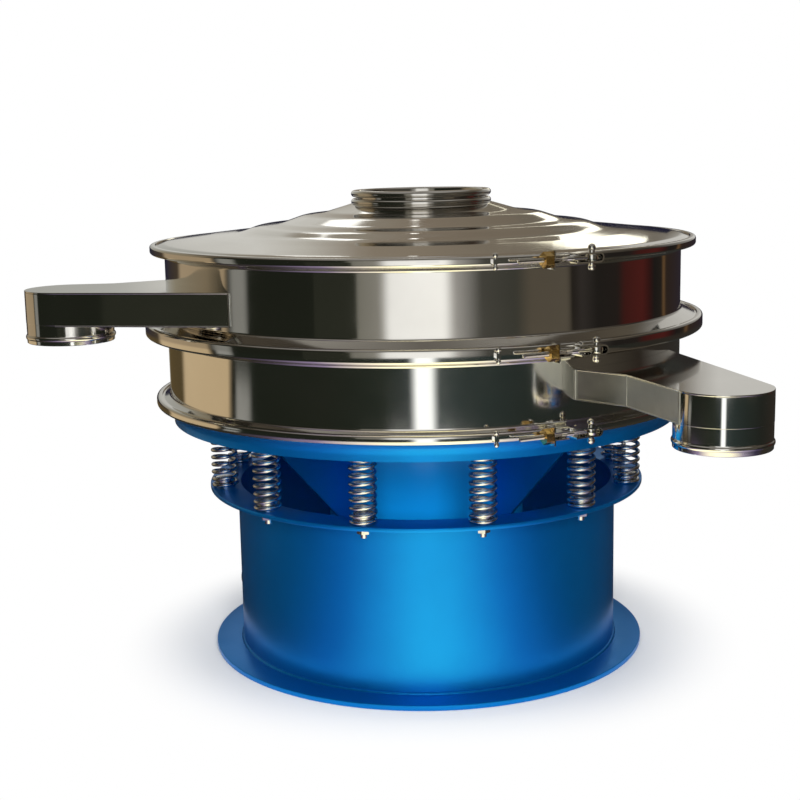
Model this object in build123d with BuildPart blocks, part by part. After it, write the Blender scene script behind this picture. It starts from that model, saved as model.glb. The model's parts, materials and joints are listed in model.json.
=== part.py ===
# Rotary vibrating sieve: polished sieve frames on a painted spring base, shaken by an unbalanced motor.
# Millimetres, +Z up, origin on the floor at the machine's axis.
# Angles are counted from the front (-Y) towards the right-hand side (+X).
import os
from math import cos, radians, sin, sqrt

from build123d import *

os.makedirs("parts", exist_ok=True)

# Fits between pieces
seat_gap = 0.2
running_gap = 0.05
swing_gap = 0.3

# Base drum with a flange at each end
base_height = 333.0
base_radius = 377.0
base_wall = 6.0
base_flange_reach = 54.0
floor_flange_thickness = 10.0
spring_flange_thickness = 8.0

# Opening at the back of the base for reaching the lower weight
access_angle = 180.0
access_width = 190.0
access_height = 140.0
access_sill = 70.0
access_corner = 20.0

# Cable grommet in the side of the base
grommet_angle = -97.0
grommet_height = 107.0
grommet_radius = 18.0
grommet_depth = 10.0
grommet_rounding = 4.0
grommet_neck_radius = 13.0
grommet_lip = 4.0
grommet_recess_radius = 6.0
grommet_recess_depth = 5.0

# Support springs, with a plug in each end
spring_count = 12
first_spring_angle = 14.2
spring_circle_offset = 27.0
spring_height = 132.0
spring_diameter = 52.0
spring_wire = 7.0
spring_plug_height = 20.0
spring_plug_gap = 0.5
spring_stud_diameter = 12.0
spring_stud_tail = 8.0
spring_nut_width = 22.0
spring_nut_thickness = 10.0

# Sieve stack, measured from joint plane to joint plane
sieve_radius = 500.0
sheet = 3.0
deck_rim_height = 42.5
lower_frame_height = 140.0
upper_frame_height = 150.5

# Flared rims of the frames: a small one at the deck and the lid, a wide one at the screen
rim_lip = 10.0
small_flare_reach = 25.0
small_flare_rise = 24.0
screen_flare_reach = 40.0
screen_flare_rise = 34.5
rim_seal_thickness = 6.0
screen_seal_thickness = 15.0
seal_margin = 1.5

# Vibrating deck with its rim, the motor drum and its gussets
deck_inset = 5.0
deck_thickness = 6.0
drum_radius = 195.0
drum_wall = 6.0
drum_depth = 215.0
drum_ring_width = 45.0
drum_ring_thickness = 8.0
gusset_angle = 43.5
gusset_count = 4
gusset_thickness = 8.0
gusset_depth = 209.0
gusset_spring_gap = 8.0
gusset_toe = 35.0
gusset_heel = 12.0

# Screen between the two frames
screen_ring_width = 50.0
screen_ring_thickness = 4.0
screen_groove_depth = 16.0
screen_mesh_thickness = 1.0
screen_spoke_width = 8.0
screen_spoke_count = 6
screen_hub_radius = 60.0

# Collecting dome below the screen
dome_sheet = 2.0
dome_rise = 52.0

# Lid with pressed steps, and its inlet collar
lid_first_step = 187.0
lid_edge = 55.0
lid_step_count = 4
lid_riser_run = 42.0
lid_riser_rise = 13.5
lid_tread_rise = 3.0
collar_radius = 124.0
collar_height = 22.5
collar_bead_radius = 6.5
collar_bead_reach = 12.5
collar_bead_spacing = 15.5

# Discharge chutes, skewed boxes that end in a round spout
chute_height = 52.0
chute_half_width = 153.0
chute_neck = 80.0
chute_root = 30.0
chute_bend = 8.0
spout_radius = 76.0
spout_ledge = 2.0
spout_drop = 43.0
spout_bead_radius = 4.0
spout_bead_height = 11.0
fines_chute_angle = 48.6
fines_chute_above_joint = 47.5
fines_spout_out = 262.0
fines_spout_offset = -163.0
oversize_chute_angle = -59.4
oversize_chute_above_joint = 41.5
oversize_spout_out = 176.0
oversize_spout_offset = -114.0

# Clamp bands and their closures
band_wall = 2.2
band_cover = 8.0
band_opening = 16.0
closure_angle = 26.5
pivot_offset = 40.0
bolt_stand_off = 15.0
bolt_diameter = 8.0
bolt_length = 140.0
eye_radius = 11.0
eye_height = 11.0
pivot_pin_radius = 5.0
pivot_pin_length = 32.0
pivot_ball_radius = 6.5
strap_thickness = 2.5
clevis_gap = 12.0
clevis_length = 44.0
clevis_end = 18.0
strap_overhang = 10.0
nut_seat = 78.0
nut_width = 24.0
nut_thickness = 15.0
lug_slot = 9.2
lug_nose_height = 16.0
strap_pin_angle = 12.7
strap_pin_radius = 3.0
strap_pin_length = 20.0
strap_pin_ball_radius = 4.5
strap_pin_saddle = 8.0
strap_pin_stand_off = 5.5

# Motor in the drum
motor_drum_gap = 91.0
motor_wall = 14.0
motor_above_flange = 92.0
motor_below_flange = 70.0
motor_flange_thickness = 12.0
motor_flange_gap = 3.0
motor_fin_count = 16
motor_fin_height = 12.0
motor_fin_width = 6.0
motor_bolt_count = 8
motor_bolt_inset = 27.0
motor_bolt_diameter = 12.0
motor_bolt_head_width = 19.0
motor_bolt_head = 8.0
motor_bolt_tail = 14.0
shield_thickness = 16.0
shield_hub_radius = 58.0
shield_hub_depth = 12.0
bearing_radius = 45.0
bearing_width = 22.0
bearing_lip = 5.0
shaft_radius = 20.0
shaft_hole_gap = 3.0
air_gap = 0.8
stator_height = 110.0
stator_thickness = 33.0

# Unbalance weights on the ends of the shaft
weight_radius = 150.0
weight_hub_radius = 42.0
weight_thickness = 50.0
weight_shield_gap = 18.0
shaft_tail = 12.0

# Worked out from the sizes above
base_inner_radius = base_radius - base_wall
base_flange_radius = base_radius + base_flange_reach
spring_circle_radius = base_radius + spring_circle_offset
spring_bore_radius = spring_diameter / 2 - spring_wire
spring_plug_radius = spring_bore_radius - spring_plug_gap
deck_underside = base_height + spring_height
deck_joint = deck_underside + deck_rim_height
screen_joint = deck_joint + lower_frame_height
lid_joint = screen_joint + upper_frame_height
deck_radius = sieve_radius - deck_inset
drum_inner_radius = drum_radius - drum_wall
motor_bore_radius = drum_radius - motor_drum_gap
motor_bolt_circle_radius = drum_radius - motor_bolt_inset
drum_bottom = deck_underside - drum_depth
lid_lip_top = lid_joint + rim_seal_thickness / 2 + sheet
lid_step_pitch = (sieve_radius - lid_edge - lid_first_step) / (lid_step_count - 1)
fines_floor = deck_joint + fines_chute_above_joint
oversize_floor = screen_joint + oversize_chute_above_joint
fines_spout_reach = sieve_radius + fines_spout_out
oversize_spout_reach = sieve_radius + oversize_spout_out
spout_bore_radius = spout_radius - sheet
small_rim_radius = sieve_radius + small_flare_reach
screen_rim_radius = sieve_radius + screen_flare_reach


# Horizontal plane whose -Y side faces outward at the given angle
def level(height, angle=0.0):
    return Plane.XY.offset(height).rotated((0, 0, angle))


# Upright plane through the machine's axis, seen from outside at the given angle
def facing(angle, height=0.0):
    across = (cos(radians(angle)), sin(radians(angle)), 0)
    outward = (sin(radians(angle)), -cos(radians(angle)), 0)
    return Plane(origin=(0, 0, height), x_dir=across, z_dir=outward)


# Places of the support springs on a horizontal plane
def spring_places():
    return PolarLocations(spring_circle_radius, spring_count, start_angle=first_spring_angle - 90)


# Section of a sheet whose outer side follows the points, with the metal on the left of the path
def draw_sheet(points, thickness=sheet):
    with BuildLine() as section:
        Polyline(*points)
        offset(amount=thickness, side=Side.LEFT, kind=Kind.INTERSECTION)
    make_face(section.edges())


# Outer side of a flared rim, from the edge of its lip to the frame's wall; side is 1 above the joint, -1 below
def rim_points(joint, side, wall_radius, reach, rise, seal):
    lip_height = joint + side * (seal / 2 + sheet)
    lip_radius = sieve_radius + reach
    return [
        (lip_radius, lip_height),
        (lip_radius - rim_lip, lip_height),
        (wall_radius, joint + side * rise),
    ]


# Ring of rectangular section around the machine's axis, drawn in the XZ plane
def draw_ring(inner, outer, bottom, top, mode=Mode.ADD):
    with Locations((inner, bottom)):
        Rectangle(outer - inner, top - bottom, align=(Align.MIN, Align.MIN), mode=mode)


# Plan of a chute: a straight neck at the frame that widens towards its round end
def draw_chute_plan(reach, offset_across, inset=0.0):
    root = sqrt(sieve_radius**2 - chute_half_width**2) - chute_root
    neck_side = chute_half_width - inset
    neck_end = (chute_bend - chute_half_width, -sieve_radius - chute_neck)
    far_corner = (chute_half_width - chute_bend, -root)
    with BuildLine() as ends:
        CenterArc(neck_end, chute_bend - inset, 0, 360)
        CenterArc(far_corner, chute_bend - inset, 0, 360)
        CenterArc((offset_across, -reach), spout_radius + spout_ledge - inset, 0, 360)
    make_hull(ends.edges())
    Polygon((-neck_side, -root), (-neck_side, neck_end[1]), far_corner, align=None)


# Rolled base drum with the grommet hole and the access opening
spring_flange_bottom = base_height - spring_flange_thickness
with BuildPart() as base_drum:
    with BuildSketch(Plane.XZ):
        draw_ring(base_inner_radius, base_radius, floor_flange_thickness, spring_flange_bottom)
    revolve(axis=Axis.Z)
    with BuildSketch(facing(grommet_angle, grommet_height)):
        Circle(grommet_neck_radius + seat_gap)
    extrude(amount=base_radius, mode=Mode.SUBTRACT)
    with BuildSketch(facing(access_angle, access_sill)):
        RectangleRounded(access_width, access_height, access_corner, align=(Align.CENTER, Align.MIN))
    extrude(amount=base_radius, mode=Mode.SUBTRACT)
base_drum.part.label = "base_drum"
export_step(base_drum.part, "parts/base_drum.step")

# Flange that stands on the floor
with BuildPart() as floor_flange:
    with BuildSketch(Plane.XZ):
        draw_ring(base_inner_radius, base_flange_radius, 0, floor_flange_thickness)
    revolve(axis=Axis.Z)
floor_flange.part.label = "floor_flange"
export_step(floor_flange.part, "parts/floor_flange.step")

# Flange that carries the springs, with a hole for each stud
with BuildPart() as spring_flange:
    with BuildSketch(Plane.XZ):
        draw_ring(base_inner_radius, base_flange_radius, spring_flange_bottom, base_height)
    revolve(axis=Axis.Z)
    with BuildSketch(level(base_height)):
        with spring_places():
            Circle(spring_stud_diameter / 2 + seat_gap)
    extrude(amount=-spring_flange_thickness, mode=Mode.SUBTRACT)
spring_flange.part.label = "spring_flange"
export_step(spring_flange.part, "parts/spring_flange.step")

# Rubber grommet, snapped into the base wall
grommet_plane = facing(grommet_angle, grommet_height)
grommet_inner_face = sqrt(base_inner_radius**2 - grommet_radius**2) - seat_gap
with BuildPart() as cable_grommet:
    with BuildSketch(grommet_plane.offset(base_radius + seat_gap)):
        Circle(grommet_radius)
    extrude(amount=grommet_depth)
    fillet(cable_grommet.edges().sort_by(Axis(grommet_plane.origin, grommet_plane.z_dir))[-1], grommet_rounding)
    with BuildSketch(grommet_plane.offset(grommet_inner_face)):
        Circle(grommet_neck_radius)
    extrude(amount=base_radius + grommet_depth / 2 - grommet_inner_face)
    with BuildSketch(grommet_plane.offset(grommet_inner_face)):
        Circle(grommet_radius)
    extrude(amount=-grommet_lip)
    with BuildSketch(grommet_plane.offset(base_radius + seat_gap + grommet_depth)):
        Circle(grommet_recess_radius)
    extrude(amount=-grommet_recess_depth, mode=Mode.SUBTRACT)
cable_grommet.part.label = "cable_grommet"
export_step(cable_grommet.part, "parts/cable_grommet.step")

# Envelopes of the twelve coil springs
with BuildPart() as support_springs:
    with BuildSketch(level(base_height)):
        with spring_places():
            Circle(spring_diameter / 2)
            Circle(spring_bore_radius, mode=Mode.SUBTRACT)
    extrude(amount=spring_height - seat_gap)
support_springs.part.label = "support_springs"
export_step(support_springs.part, "parts/support_springs.step")

# Plugs that locate the springs on the base, each on a stud through the flange
stud_end = spring_flange_bottom - spring_nut_thickness - spring_stud_tail
with BuildPart() as lower_spring_studs:
    with BuildSketch(level(base_height)):
        with spring_places():
            Circle(spring_plug_radius)
    extrude(amount=spring_plug_height)
    with BuildSketch(level(stud_end)):
        with spring_places():
            Circle(spring_stud_diameter / 2)
    extrude(amount=base_height - stud_end)
lower_spring_studs.part.label = "lower_spring_studs"
export_step(lower_spring_studs.part, "parts/lower_spring_studs.step")

# Nuts of those studs under the flange
with BuildPart() as lower_spring_nuts:
    with BuildSketch(level(spring_flange_bottom)):
        with spring_places():
            RegularPolygon(spring_nut_width / 2, 6, major_radius=False)
            Circle(spring_stud_diameter / 2 + seat_gap, mode=Mode.SUBTRACT)
    extrude(amount=-spring_nut_thickness)
lower_spring_nuts.part.label = "lower_spring_nuts"
export_step(lower_spring_nuts.part, "parts/lower_spring_nuts.step")

# Plugs welded under the deck, in the tops of the springs
with BuildPart() as upper_spring_plugs:
    with BuildSketch(level(deck_underside)):
        with spring_places():
            Circle(spring_plug_radius)
    extrude(amount=-spring_plug_height)
upper_spring_plugs.part.label = "upper_spring_plugs"
export_step(upper_spring_plugs.part, "parts/upper_spring_plugs.step")

# Deck plate, open above the motor
with BuildPart() as deck_plate:
    with BuildSketch(Plane.XZ):
        draw_ring(drum_inner_radius, deck_radius - sheet, deck_underside, deck_underside + deck_thickness)
    revolve(axis=Axis.Z)
deck_plate.part.label = "deck_plate"
export_step(deck_plate.part, "parts/deck_plate.step")

# Rolled rim around the deck plate
deck_rim_path = rim_points(deck_joint, -1, deck_radius, small_flare_reach, small_flare_rise, rim_seal_thickness)
with BuildPart() as deck_rim:
    with BuildSketch(Plane.XZ):
        draw_sheet([(deck_radius, deck_underside)] + deck_rim_path[::-1])
    revolve(axis=Axis.Z)
deck_rim.part.label = "deck_rim"
export_step(deck_rim.part, "parts/deck_rim.step")

# Drum under the deck
motor_seat = drum_bottom + drum_ring_thickness
with BuildPart() as motor_drum:
    with BuildSketch(Plane.XZ):
        draw_ring(drum_inner_radius, drum_radius, motor_seat, deck_underside)
    revolve(axis=Axis.Z)
motor_drum.part.label = "motor_drum"
export_step(motor_drum.part, "parts/motor_drum.step")

# Ring at the drum's foot that carries the motor
with BuildPart() as motor_ring:
    with BuildSketch(Plane.XZ):
        draw_ring(drum_radius - drum_ring_width, drum_radius, drum_bottom, motor_seat)
    revolve(axis=Axis.Z)
    with BuildSketch(level(drum_bottom)):
        with PolarLocations(motor_bolt_circle_radius, motor_bolt_count):
            Circle(motor_bolt_diameter / 2 + seat_gap)
    extrude(amount=drum_ring_thickness, mode=Mode.SUBTRACT)
motor_ring.part.label = "motor_ring"
export_step(motor_ring.part, "parts/motor_ring.step")

# Triangular gussets between the drum and the deck
gusset_reach = spring_circle_radius - spring_diameter / 2 - gusset_spring_gap
gusset_root = drum_radius - gusset_thickness
with BuildPart() as gussets:
    for gusset in range(gusset_count):
        radial = facing(gusset_angle + gusset * 360 / gusset_count - 90, deck_underside)
        with BuildSketch(radial):
            Polygon(
                (gusset_root, 0),
                (gusset_reach, 0),
                (gusset_reach, -gusset_toe),
                (drum_radius + gusset_heel, -gusset_depth),
                (gusset_root, -gusset_depth),
                align=None,
            )
        extrude(amount=gusset_thickness / 2, both=True)
    with BuildSketch(level(deck_underside)):
        Circle(drum_radius)
    extrude(amount=-drum_depth, mode=Mode.SUBTRACT)
gussets.part.label = "gussets"
export_step(gussets.part, "parts/gussets.step")

# Lower frame, open to the fines chute
lower_rim = rim_points(deck_joint, 1, sieve_radius, small_flare_reach, small_flare_rise, rim_seal_thickness)
screen_lower_rim = rim_points(
    screen_joint, -1, sieve_radius, screen_flare_reach, screen_flare_rise, screen_seal_thickness
)
with BuildPart() as lower_frame:
    with BuildSketch(Plane.XZ):
        draw_sheet(lower_rim + screen_lower_rim[::-1])
    revolve(axis=Axis.Z)
    with BuildSketch(level(fines_floor + sheet, fines_chute_angle)):
        draw_chute_plan(fines_spout_reach, fines_spout_offset, sheet)
    extrude(amount=chute_height - 2 * sheet, mode=Mode.SUBTRACT)
lower_frame.part.label = "lower_frame"
export_step(lower_frame.part, "parts/lower_frame.step")

# Upper frame, open to the oversize chute
screen_upper_rim = rim_points(
    screen_joint, 1, sieve_radius, screen_flare_reach, screen_flare_rise, screen_seal_thickness
)
upper_rim = rim_points(lid_joint, -1, sieve_radius, small_flare_reach, small_flare_rise, rim_seal_thickness)
with BuildPart() as upper_frame:
    with BuildSketch(Plane.XZ):
        draw_sheet(screen_upper_rim + upper_rim[::-1])
    revolve(axis=Axis.Z)
    with BuildSketch(level(oversize_floor + sheet, oversize_chute_angle)):
        draw_chute_plan(oversize_spout_reach, oversize_spout_offset, sheet)
    extrude(amount=chute_height - 2 * sheet, mode=Mode.SUBTRACT)
upper_frame.part.label = "upper_frame"
export_step(upper_frame.part, "parts/upper_frame.step")

# Dome that sheds the fines outward to the chute
dome_rim_radius = sieve_radius - sheet - seat_gap
dome_rim_top = fines_floor + sheet
with BuildPart() as collecting_dome:
    with BuildSketch(Plane.XZ):
        Polygon(
            (0, dome_rim_top + dome_rise),
            (0, dome_rim_top + dome_rise - dome_sheet),
            (dome_rim_radius, dome_rim_top - dome_sheet),
            (dome_rim_radius, dome_rim_top),
            align=None,
        )
    revolve(axis=Axis.Z)
collecting_dome.part.label = "collecting_dome"
export_step(collecting_dome.part, "parts/collecting_dome.step")

# Chutes: a welded trough, its cover plate and its spout
chutes = [
    ("fines", fines_chute_angle, fines_floor, fines_spout_reach, fines_spout_offset),
    ("oversize", oversize_chute_angle, oversize_floor, oversize_spout_reach, oversize_spout_offset),
]
for name, angle, floor, reach, offset_across in chutes:
    with BuildPart() as chute:
        with BuildSketch(level(floor, angle)):
            draw_chute_plan(reach, offset_across)
        extrude(amount=chute_height - sheet)
        with BuildSketch(level(floor + sheet, angle)):
            draw_chute_plan(reach, offset_across, sheet)
        extrude(amount=chute_height, mode=Mode.SUBTRACT)
        with BuildSketch(level(floor, angle)):
            with Locations((offset_across, -reach)):
                Circle(spout_bore_radius)
        extrude(amount=sheet, mode=Mode.SUBTRACT)
        with BuildSketch(level(floor)):
            Circle(sieve_radius)
        extrude(amount=chute_height, mode=Mode.SUBTRACT)
    chute.part.label = f"{name}_chute"
    export_step(chute.part, f"parts/{name}_chute.step")

    with BuildPart() as cover:
        with BuildSketch(level(floor + chute_height - sheet, angle)):
            draw_chute_plan(reach, offset_across)
        extrude(amount=sheet)
        with BuildSketch(level(floor)):
            Circle(sieve_radius)
        extrude(amount=chute_height, mode=Mode.SUBTRACT)
    cover.part.label = f"{name}_chute_cover"
    export_step(cover.part, f"parts/{name}_chute_cover.step")

    spout_centre = level(floor, angle).from_local_coords((offset_across, -reach, 0))
    with BuildPart() as spout:
        with BuildSketch(Plane(origin=spout_centre, x_dir=(1, 0, 0), z_dir=(0, -1, 0))):
            draw_ring(spout_bore_radius, spout_radius, -spout_drop, 0)
            with Locations((spout_radius, spout_bead_height - spout_drop)):
                Circle(spout_bead_radius)
            draw_ring(0, spout_bore_radius, -spout_drop, 0, Mode.SUBTRACT)
        revolve(axis=Axis(spout_centre, (0, 0, 1)))
    spout.part.label = f"{name}_spout"
    export_step(spout.part, f"parts/{name}_spout.step")

# Rubber seals of the deck joint and the lid joint
rim_seals = [("deck_seal", deck_joint), ("lid_seal", lid_joint)]
for name, joint in rim_seals:
    with BuildPart() as seal:
        with BuildSketch(Plane.XZ):
            draw_ring(
                small_rim_radius - rim_lip,
                small_rim_radius - seal_margin,
                joint - rim_seal_thickness / 2,
                joint + rim_seal_thickness / 2,
            )
        revolve(axis=Axis.Z)
    seal.part.label = name
    export_step(seal.part, f"parts/{name}.step")

# Grooved seal around the screen's ring
screen_seal_radius = screen_rim_radius - seal_margin
screen_groove_radius = screen_seal_radius - rim_lip
screen_seal_bore = screen_groove_radius - screen_groove_depth
half_groove = screen_ring_thickness / 2 + seat_gap
with BuildPart() as screen_seal:
    with BuildSketch(Plane.XZ):
        draw_ring(
            screen_seal_bore,
            screen_seal_radius,
            screen_joint - screen_seal_thickness / 2,
            screen_joint + screen_seal_thickness / 2,
        )
        draw_ring(
            screen_seal_bore,
            screen_groove_radius,
            screen_joint - half_groove,
            screen_joint + half_groove,
            Mode.SUBTRACT,
        )
    revolve(axis=Axis.Z)
screen_seal.part.label = "screen_seal"
export_step(screen_seal.part, "parts/screen_seal.step")

# Flat ring that stretches the mesh
screen_ring_radius = screen_groove_radius - seat_gap
screen_ring_bore = screen_ring_radius - screen_ring_width
screen_ring_top = screen_joint + screen_ring_thickness / 2
with BuildPart() as screen_ring:
    with BuildSketch(Plane.XZ):
        draw_ring(screen_ring_bore, screen_ring_radius, screen_ring_top - screen_ring_thickness, screen_ring_top)
    revolve(axis=Axis.Z)
screen_ring.part.label = "screen_ring"
export_step(screen_ring.part, "parts/screen_ring.step")

# Spokes that hold the mesh up inside the ring
with BuildPart() as screen_support:
    with BuildSketch(level(screen_ring_top)):
        Circle(screen_hub_radius)
        with PolarLocations(0, screen_spoke_count):
            Rectangle(screen_ring_radius, screen_spoke_width, align=(Align.MIN, Align.CENTER))
        Circle(screen_hub_radius - screen_spoke_width, mode=Mode.SUBTRACT)
        Circle(screen_ring_bore, mode=Mode.INTERSECT)
    extrude(amount=-screen_ring_thickness)
screen_support.part.label = "screen_support"
export_step(screen_support.part, "parts/screen_support.step")

# Woven mesh as one thin disc
with BuildPart() as screen_mesh:
    with BuildSketch(level(screen_ring_top)):
        Circle(screen_seal_bore - seal_margin)
    extrude(amount=screen_mesh_thickness)
screen_mesh.part.label = "screen_mesh"
export_step(screen_mesh.part, "parts/screen_mesh.step")

# Lid: treads and risers from the rim up to the collar
lid_points = [(small_rim_radius, lid_lip_top), (small_rim_radius - rim_lip, lid_lip_top)]
lid_height = lid_lip_top
for step in reversed(range(lid_step_count)):
    step_radius = lid_first_step + step * lid_step_pitch
    lid_height += lid_tread_rise
    lid_points.append((step_radius, lid_height))
    if step > 0:
        lid_height += lid_riser_rise
        lid_points.append((step_radius - lid_riser_run, lid_height))
lid_hole_radius = collar_radius + seat_gap
lid_top = lid_height + (lid_first_step - lid_hole_radius) * lid_riser_rise / lid_riser_run
lid_points.append((lid_hole_radius, lid_top))
with BuildPart() as lid:
    with BuildSketch(Plane.XZ):
        draw_sheet(lid_points)
        draw_ring(0, lid_hole_radius, lid_lip_top, lid_top + sheet, Mode.SUBTRACT)
    revolve(axis=Axis.Z)
lid.part.label = "lid"
export_step(lid.part, "parts/lid.step")

# Inlet collar with two rolled beads, the lower one resting on the lid
collar_foot = lid_top - 2 * sheet
collar_top = lid_top + collar_height
collar_bore_radius = collar_radius - sheet
with BuildPart() as inlet_collar:
    with BuildSketch(Plane.XZ):
        draw_ring(collar_bore_radius, collar_radius, collar_foot, collar_top)
        for bead in range(2):
            bead_centre = collar_top - collar_bead_radius - bead * collar_bead_spacing
            bead_edge = collar_radius + collar_bead_reach - collar_bead_radius
            draw_ring(
                collar_radius,
                bead_edge,
                bead_centre - collar_bead_radius,
                bead_centre + collar_bead_radius,
            )
            with Locations((bead_edge, bead_centre)):
                Circle(collar_bead_radius)
        Polygon(
            (lid_hole_radius, lid_top),
            (lid_hole_radius, lid_height),
            (lid_first_step, lid_height),
            align=None,
            mode=Mode.SUBTRACT,
        )
        draw_ring(collar_radius, lid_hole_radius, collar_foot, lid_top, Mode.SUBTRACT)
    revolve(axis=Axis.Z)
inlet_collar.part.label = "inlet_collar"
export_step(inlet_collar.part, "parts/inlet_collar.step")

# Clamp band, lug, clevis, pivot pin, swing bolt and nut of each joint
clamps = [
    ("deck_clamp", deck_joint, small_rim_radius, rim_seal_thickness),
    ("screen_clamp", screen_joint, screen_rim_radius, screen_seal_thickness),
    ("lid_clamp", lid_joint, small_rim_radius, rim_seal_thickness),
]
nose_radius = nut_seat - swing_gap
for name, joint, rim_radius, seal_thickness in clamps:
    band_radius = rim_radius + seat_gap + band_wall
    band_half_height = seal_thickness / 2 + sheet + seat_gap + band_wall
    bolt_radius = band_radius + bolt_stand_off
    strap_reach = bolt_stand_off + strap_overhang
    closure = level(joint, closure_angle)
    closure_front = facing(closure_angle, joint)

    with BuildPart() as band:
        with BuildSketch(Plane.XZ):
            draw_sheet(
                [
                    (rim_radius - band_cover, joint - band_half_height),
                    (band_radius, joint - band_half_height),
                    (band_radius, joint + band_half_height),
                    (rim_radius - band_cover, joint + band_half_height),
                ],
                band_wall,
            )
        revolve(axis=Axis.Z)
        with BuildSketch(closure_front):
            Rectangle(band_opening, 3 * band_half_height)
        extrude(amount=2 * band_radius, mode=Mode.SUBTRACT)
    band.part.label = f"{name}_band"
    export_step(band.part, f"parts/{name}_band.step")

    with BuildPart() as lug:
        with BuildSketch(closure):
            with Locations((-band_opening / 2, -band_radius - strap_reach)):
                Rectangle(nut_seat, 2 * strap_reach, align=(Align.MAX, Align.MIN))
            with Locations((pivot_offset, -bolt_radius)):
                Circle(nose_radius, mode=Mode.INTERSECT)
        extrude(amount=lug_slot / 2 + strap_thickness, both=True)
        with BuildSketch(closure):
            with Locations((-band_opening / 2, -band_radius - strap_reach)):
                Rectangle(nut_seat, 2 * strap_reach, align=(Align.MAX, Align.MIN))
            with Locations((pivot_offset, -bolt_radius)):
                Circle(nose_radius, mode=Mode.INTERSECT)
                Circle(nose_radius - strap_thickness, mode=Mode.SUBTRACT)
        extrude(amount=lug_nose_height, both=True)
        with BuildSketch(closure):
            Rectangle(4 * nut_seat, 4 * rim_radius)
            Circle(band_radius + strap_thickness, mode=Mode.SUBTRACT)
        extrude(amount=lug_slot / 2, both=True, mode=Mode.SUBTRACT)
        with BuildSketch(closure):
            Circle(band_radius)
        extrude(amount=lug_nose_height, both=True, mode=Mode.SUBTRACT)
    lug.part.label = f"{name}_lug"
    export_step(lug.part, f"parts/{name}_lug.step")

    clevis_half_height = clevis_gap / 2 + strap_thickness
    clevis_round = pivot_offset + clevis_end - clevis_half_height
    with BuildPart() as clevis:
        with BuildSketch(closure_front):
            with Locations((clevis_round, 0)):
                Rectangle(clevis_length, 2 * clevis_half_height, align=(Align.MAX, Align.CENTER))
                Circle(clevis_half_height)
                Rectangle(
                    clevis_length,
                    clevis_gap,
                    align=(Align.MAX, Align.CENTER),
                    mode=Mode.SUBTRACT,
                )
                Circle(clevis_gap / 2, mode=Mode.SUBTRACT)
        extrude(amount=band_radius + strap_reach)
        with BuildSketch(closure):
            Circle(band_radius)
            with Locations((pivot_offset, -bolt_radius)):
                Circle(pivot_pin_radius + seat_gap)
        extrude(amount=2 * clevis_half_height, both=True, mode=Mode.SUBTRACT)
    clevis.part.label = f"{name}_clevis"
    export_step(clevis.part, f"parts/{name}_clevis.step")

    pivot = closure.from_local_coords((pivot_offset, -bolt_radius, 0))
    with BuildPart() as pivot_pin:
        with Locations(pivot):
            Cylinder(pivot_pin_radius, pivot_pin_length)
        with Locations(pivot + (0, 0, pivot_pin_length / 2), pivot - (0, 0, pivot_pin_length / 2)):
            Sphere(pivot_ball_radius)
    pivot_pin.part.label = f"{name}_pivot_pin"
    export_step(pivot_pin.part, f"parts/{name}_pivot_pin.step")

    bolt_line = Plane(origin=pivot, x_dir=(0, 0, 1), z_dir=-closure.x_dir)
    shank_start = (eye_radius + pivot_pin_radius) / 2
    with BuildPart() as swing_bolt:
        with BuildSketch(closure):
            with Locations((pivot_offset, -bolt_radius)):
                Circle(eye_radius)
                Circle(pivot_pin_radius + running_gap, mode=Mode.SUBTRACT)
        extrude(amount=eye_height / 2, both=True)
        with BuildSketch(bolt_line.offset(shank_start)):
            Circle(bolt_diameter / 2)
        extrude(amount=bolt_length - shank_start)
    swing_bolt.part.label = f"{name}_swing_bolt"
    export_step(swing_bolt.part, f"parts/{name}_swing_bolt.step")

    with BuildPart() as clamp_nut:
        with BuildSketch(bolt_line.offset(nut_seat)):
            RegularPolygon(nut_width / 2, 6, major_radius=False)
            Circle(bolt_diameter / 2 + running_gap, mode=Mode.SUBTRACT)
        extrude(amount=nut_thickness)
    clamp_nut.part.label = f"{name}_nut"
    export_step(clamp_nut.part, f"parts/{name}_nut.step")

# Ball-ended strap pins beside the closures, on a saddle against each band
with BuildPart() as strap_pins:
    for name, joint, rim_radius, seal_thickness in clamps:
        band_radius = rim_radius + seat_gap + band_wall
        saddle = level(joint, strap_pin_angle)
        pin_centre = saddle.from_local_coords((0, -band_radius - strap_pin_stand_off, 0))
        with BuildSketch(saddle):
            with Locations((0, -band_radius)):
                Rectangle(strap_pin_saddle, 2 * (strap_pin_stand_off + strap_pin_radius))
            Circle(band_radius, mode=Mode.SUBTRACT)
        extrude(amount=strap_pin_saddle / 2, both=True)
        with Locations(pin_centre):
            Cylinder(strap_pin_radius, strap_pin_length)
        with Locations(pin_centre + (0, 0, strap_pin_length / 2), pin_centre - (0, 0, strap_pin_length / 2)):
            Sphere(strap_pin_ball_radius)
strap_pins.part.label = "strap_pins"
export_step(strap_pins.part, "parts/strap_pins.step")

# Motor housing with its flange and cooling fins
motor_radius = motor_bore_radius + motor_wall
housing_bottom = motor_seat - motor_below_flange
housing_top = motor_seat + motor_above_flange
with BuildPart() as motor_housing:
    with BuildSketch(level(housing_bottom)):
        Circle(motor_radius)
        with PolarLocations(motor_radius, motor_fin_count):
            Rectangle(2 * motor_fin_height, motor_fin_width)
        Circle(motor_bore_radius, mode=Mode.SUBTRACT)
    extrude(amount=housing_top - housing_bottom)
    with BuildSketch(level(motor_seat)):
        Circle(drum_inner_radius - motor_flange_gap)
        Circle(motor_bore_radius, mode=Mode.SUBTRACT)
        with PolarLocations(motor_bolt_circle_radius, motor_bolt_count):
            Circle(motor_bolt_diameter / 2 + seat_gap, mode=Mode.SUBTRACT)
    extrude(amount=motor_flange_thickness)
motor_housing.part.label = "motor_housing"
export_step(motor_housing.part, "parts/motor_housing.step")

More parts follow.
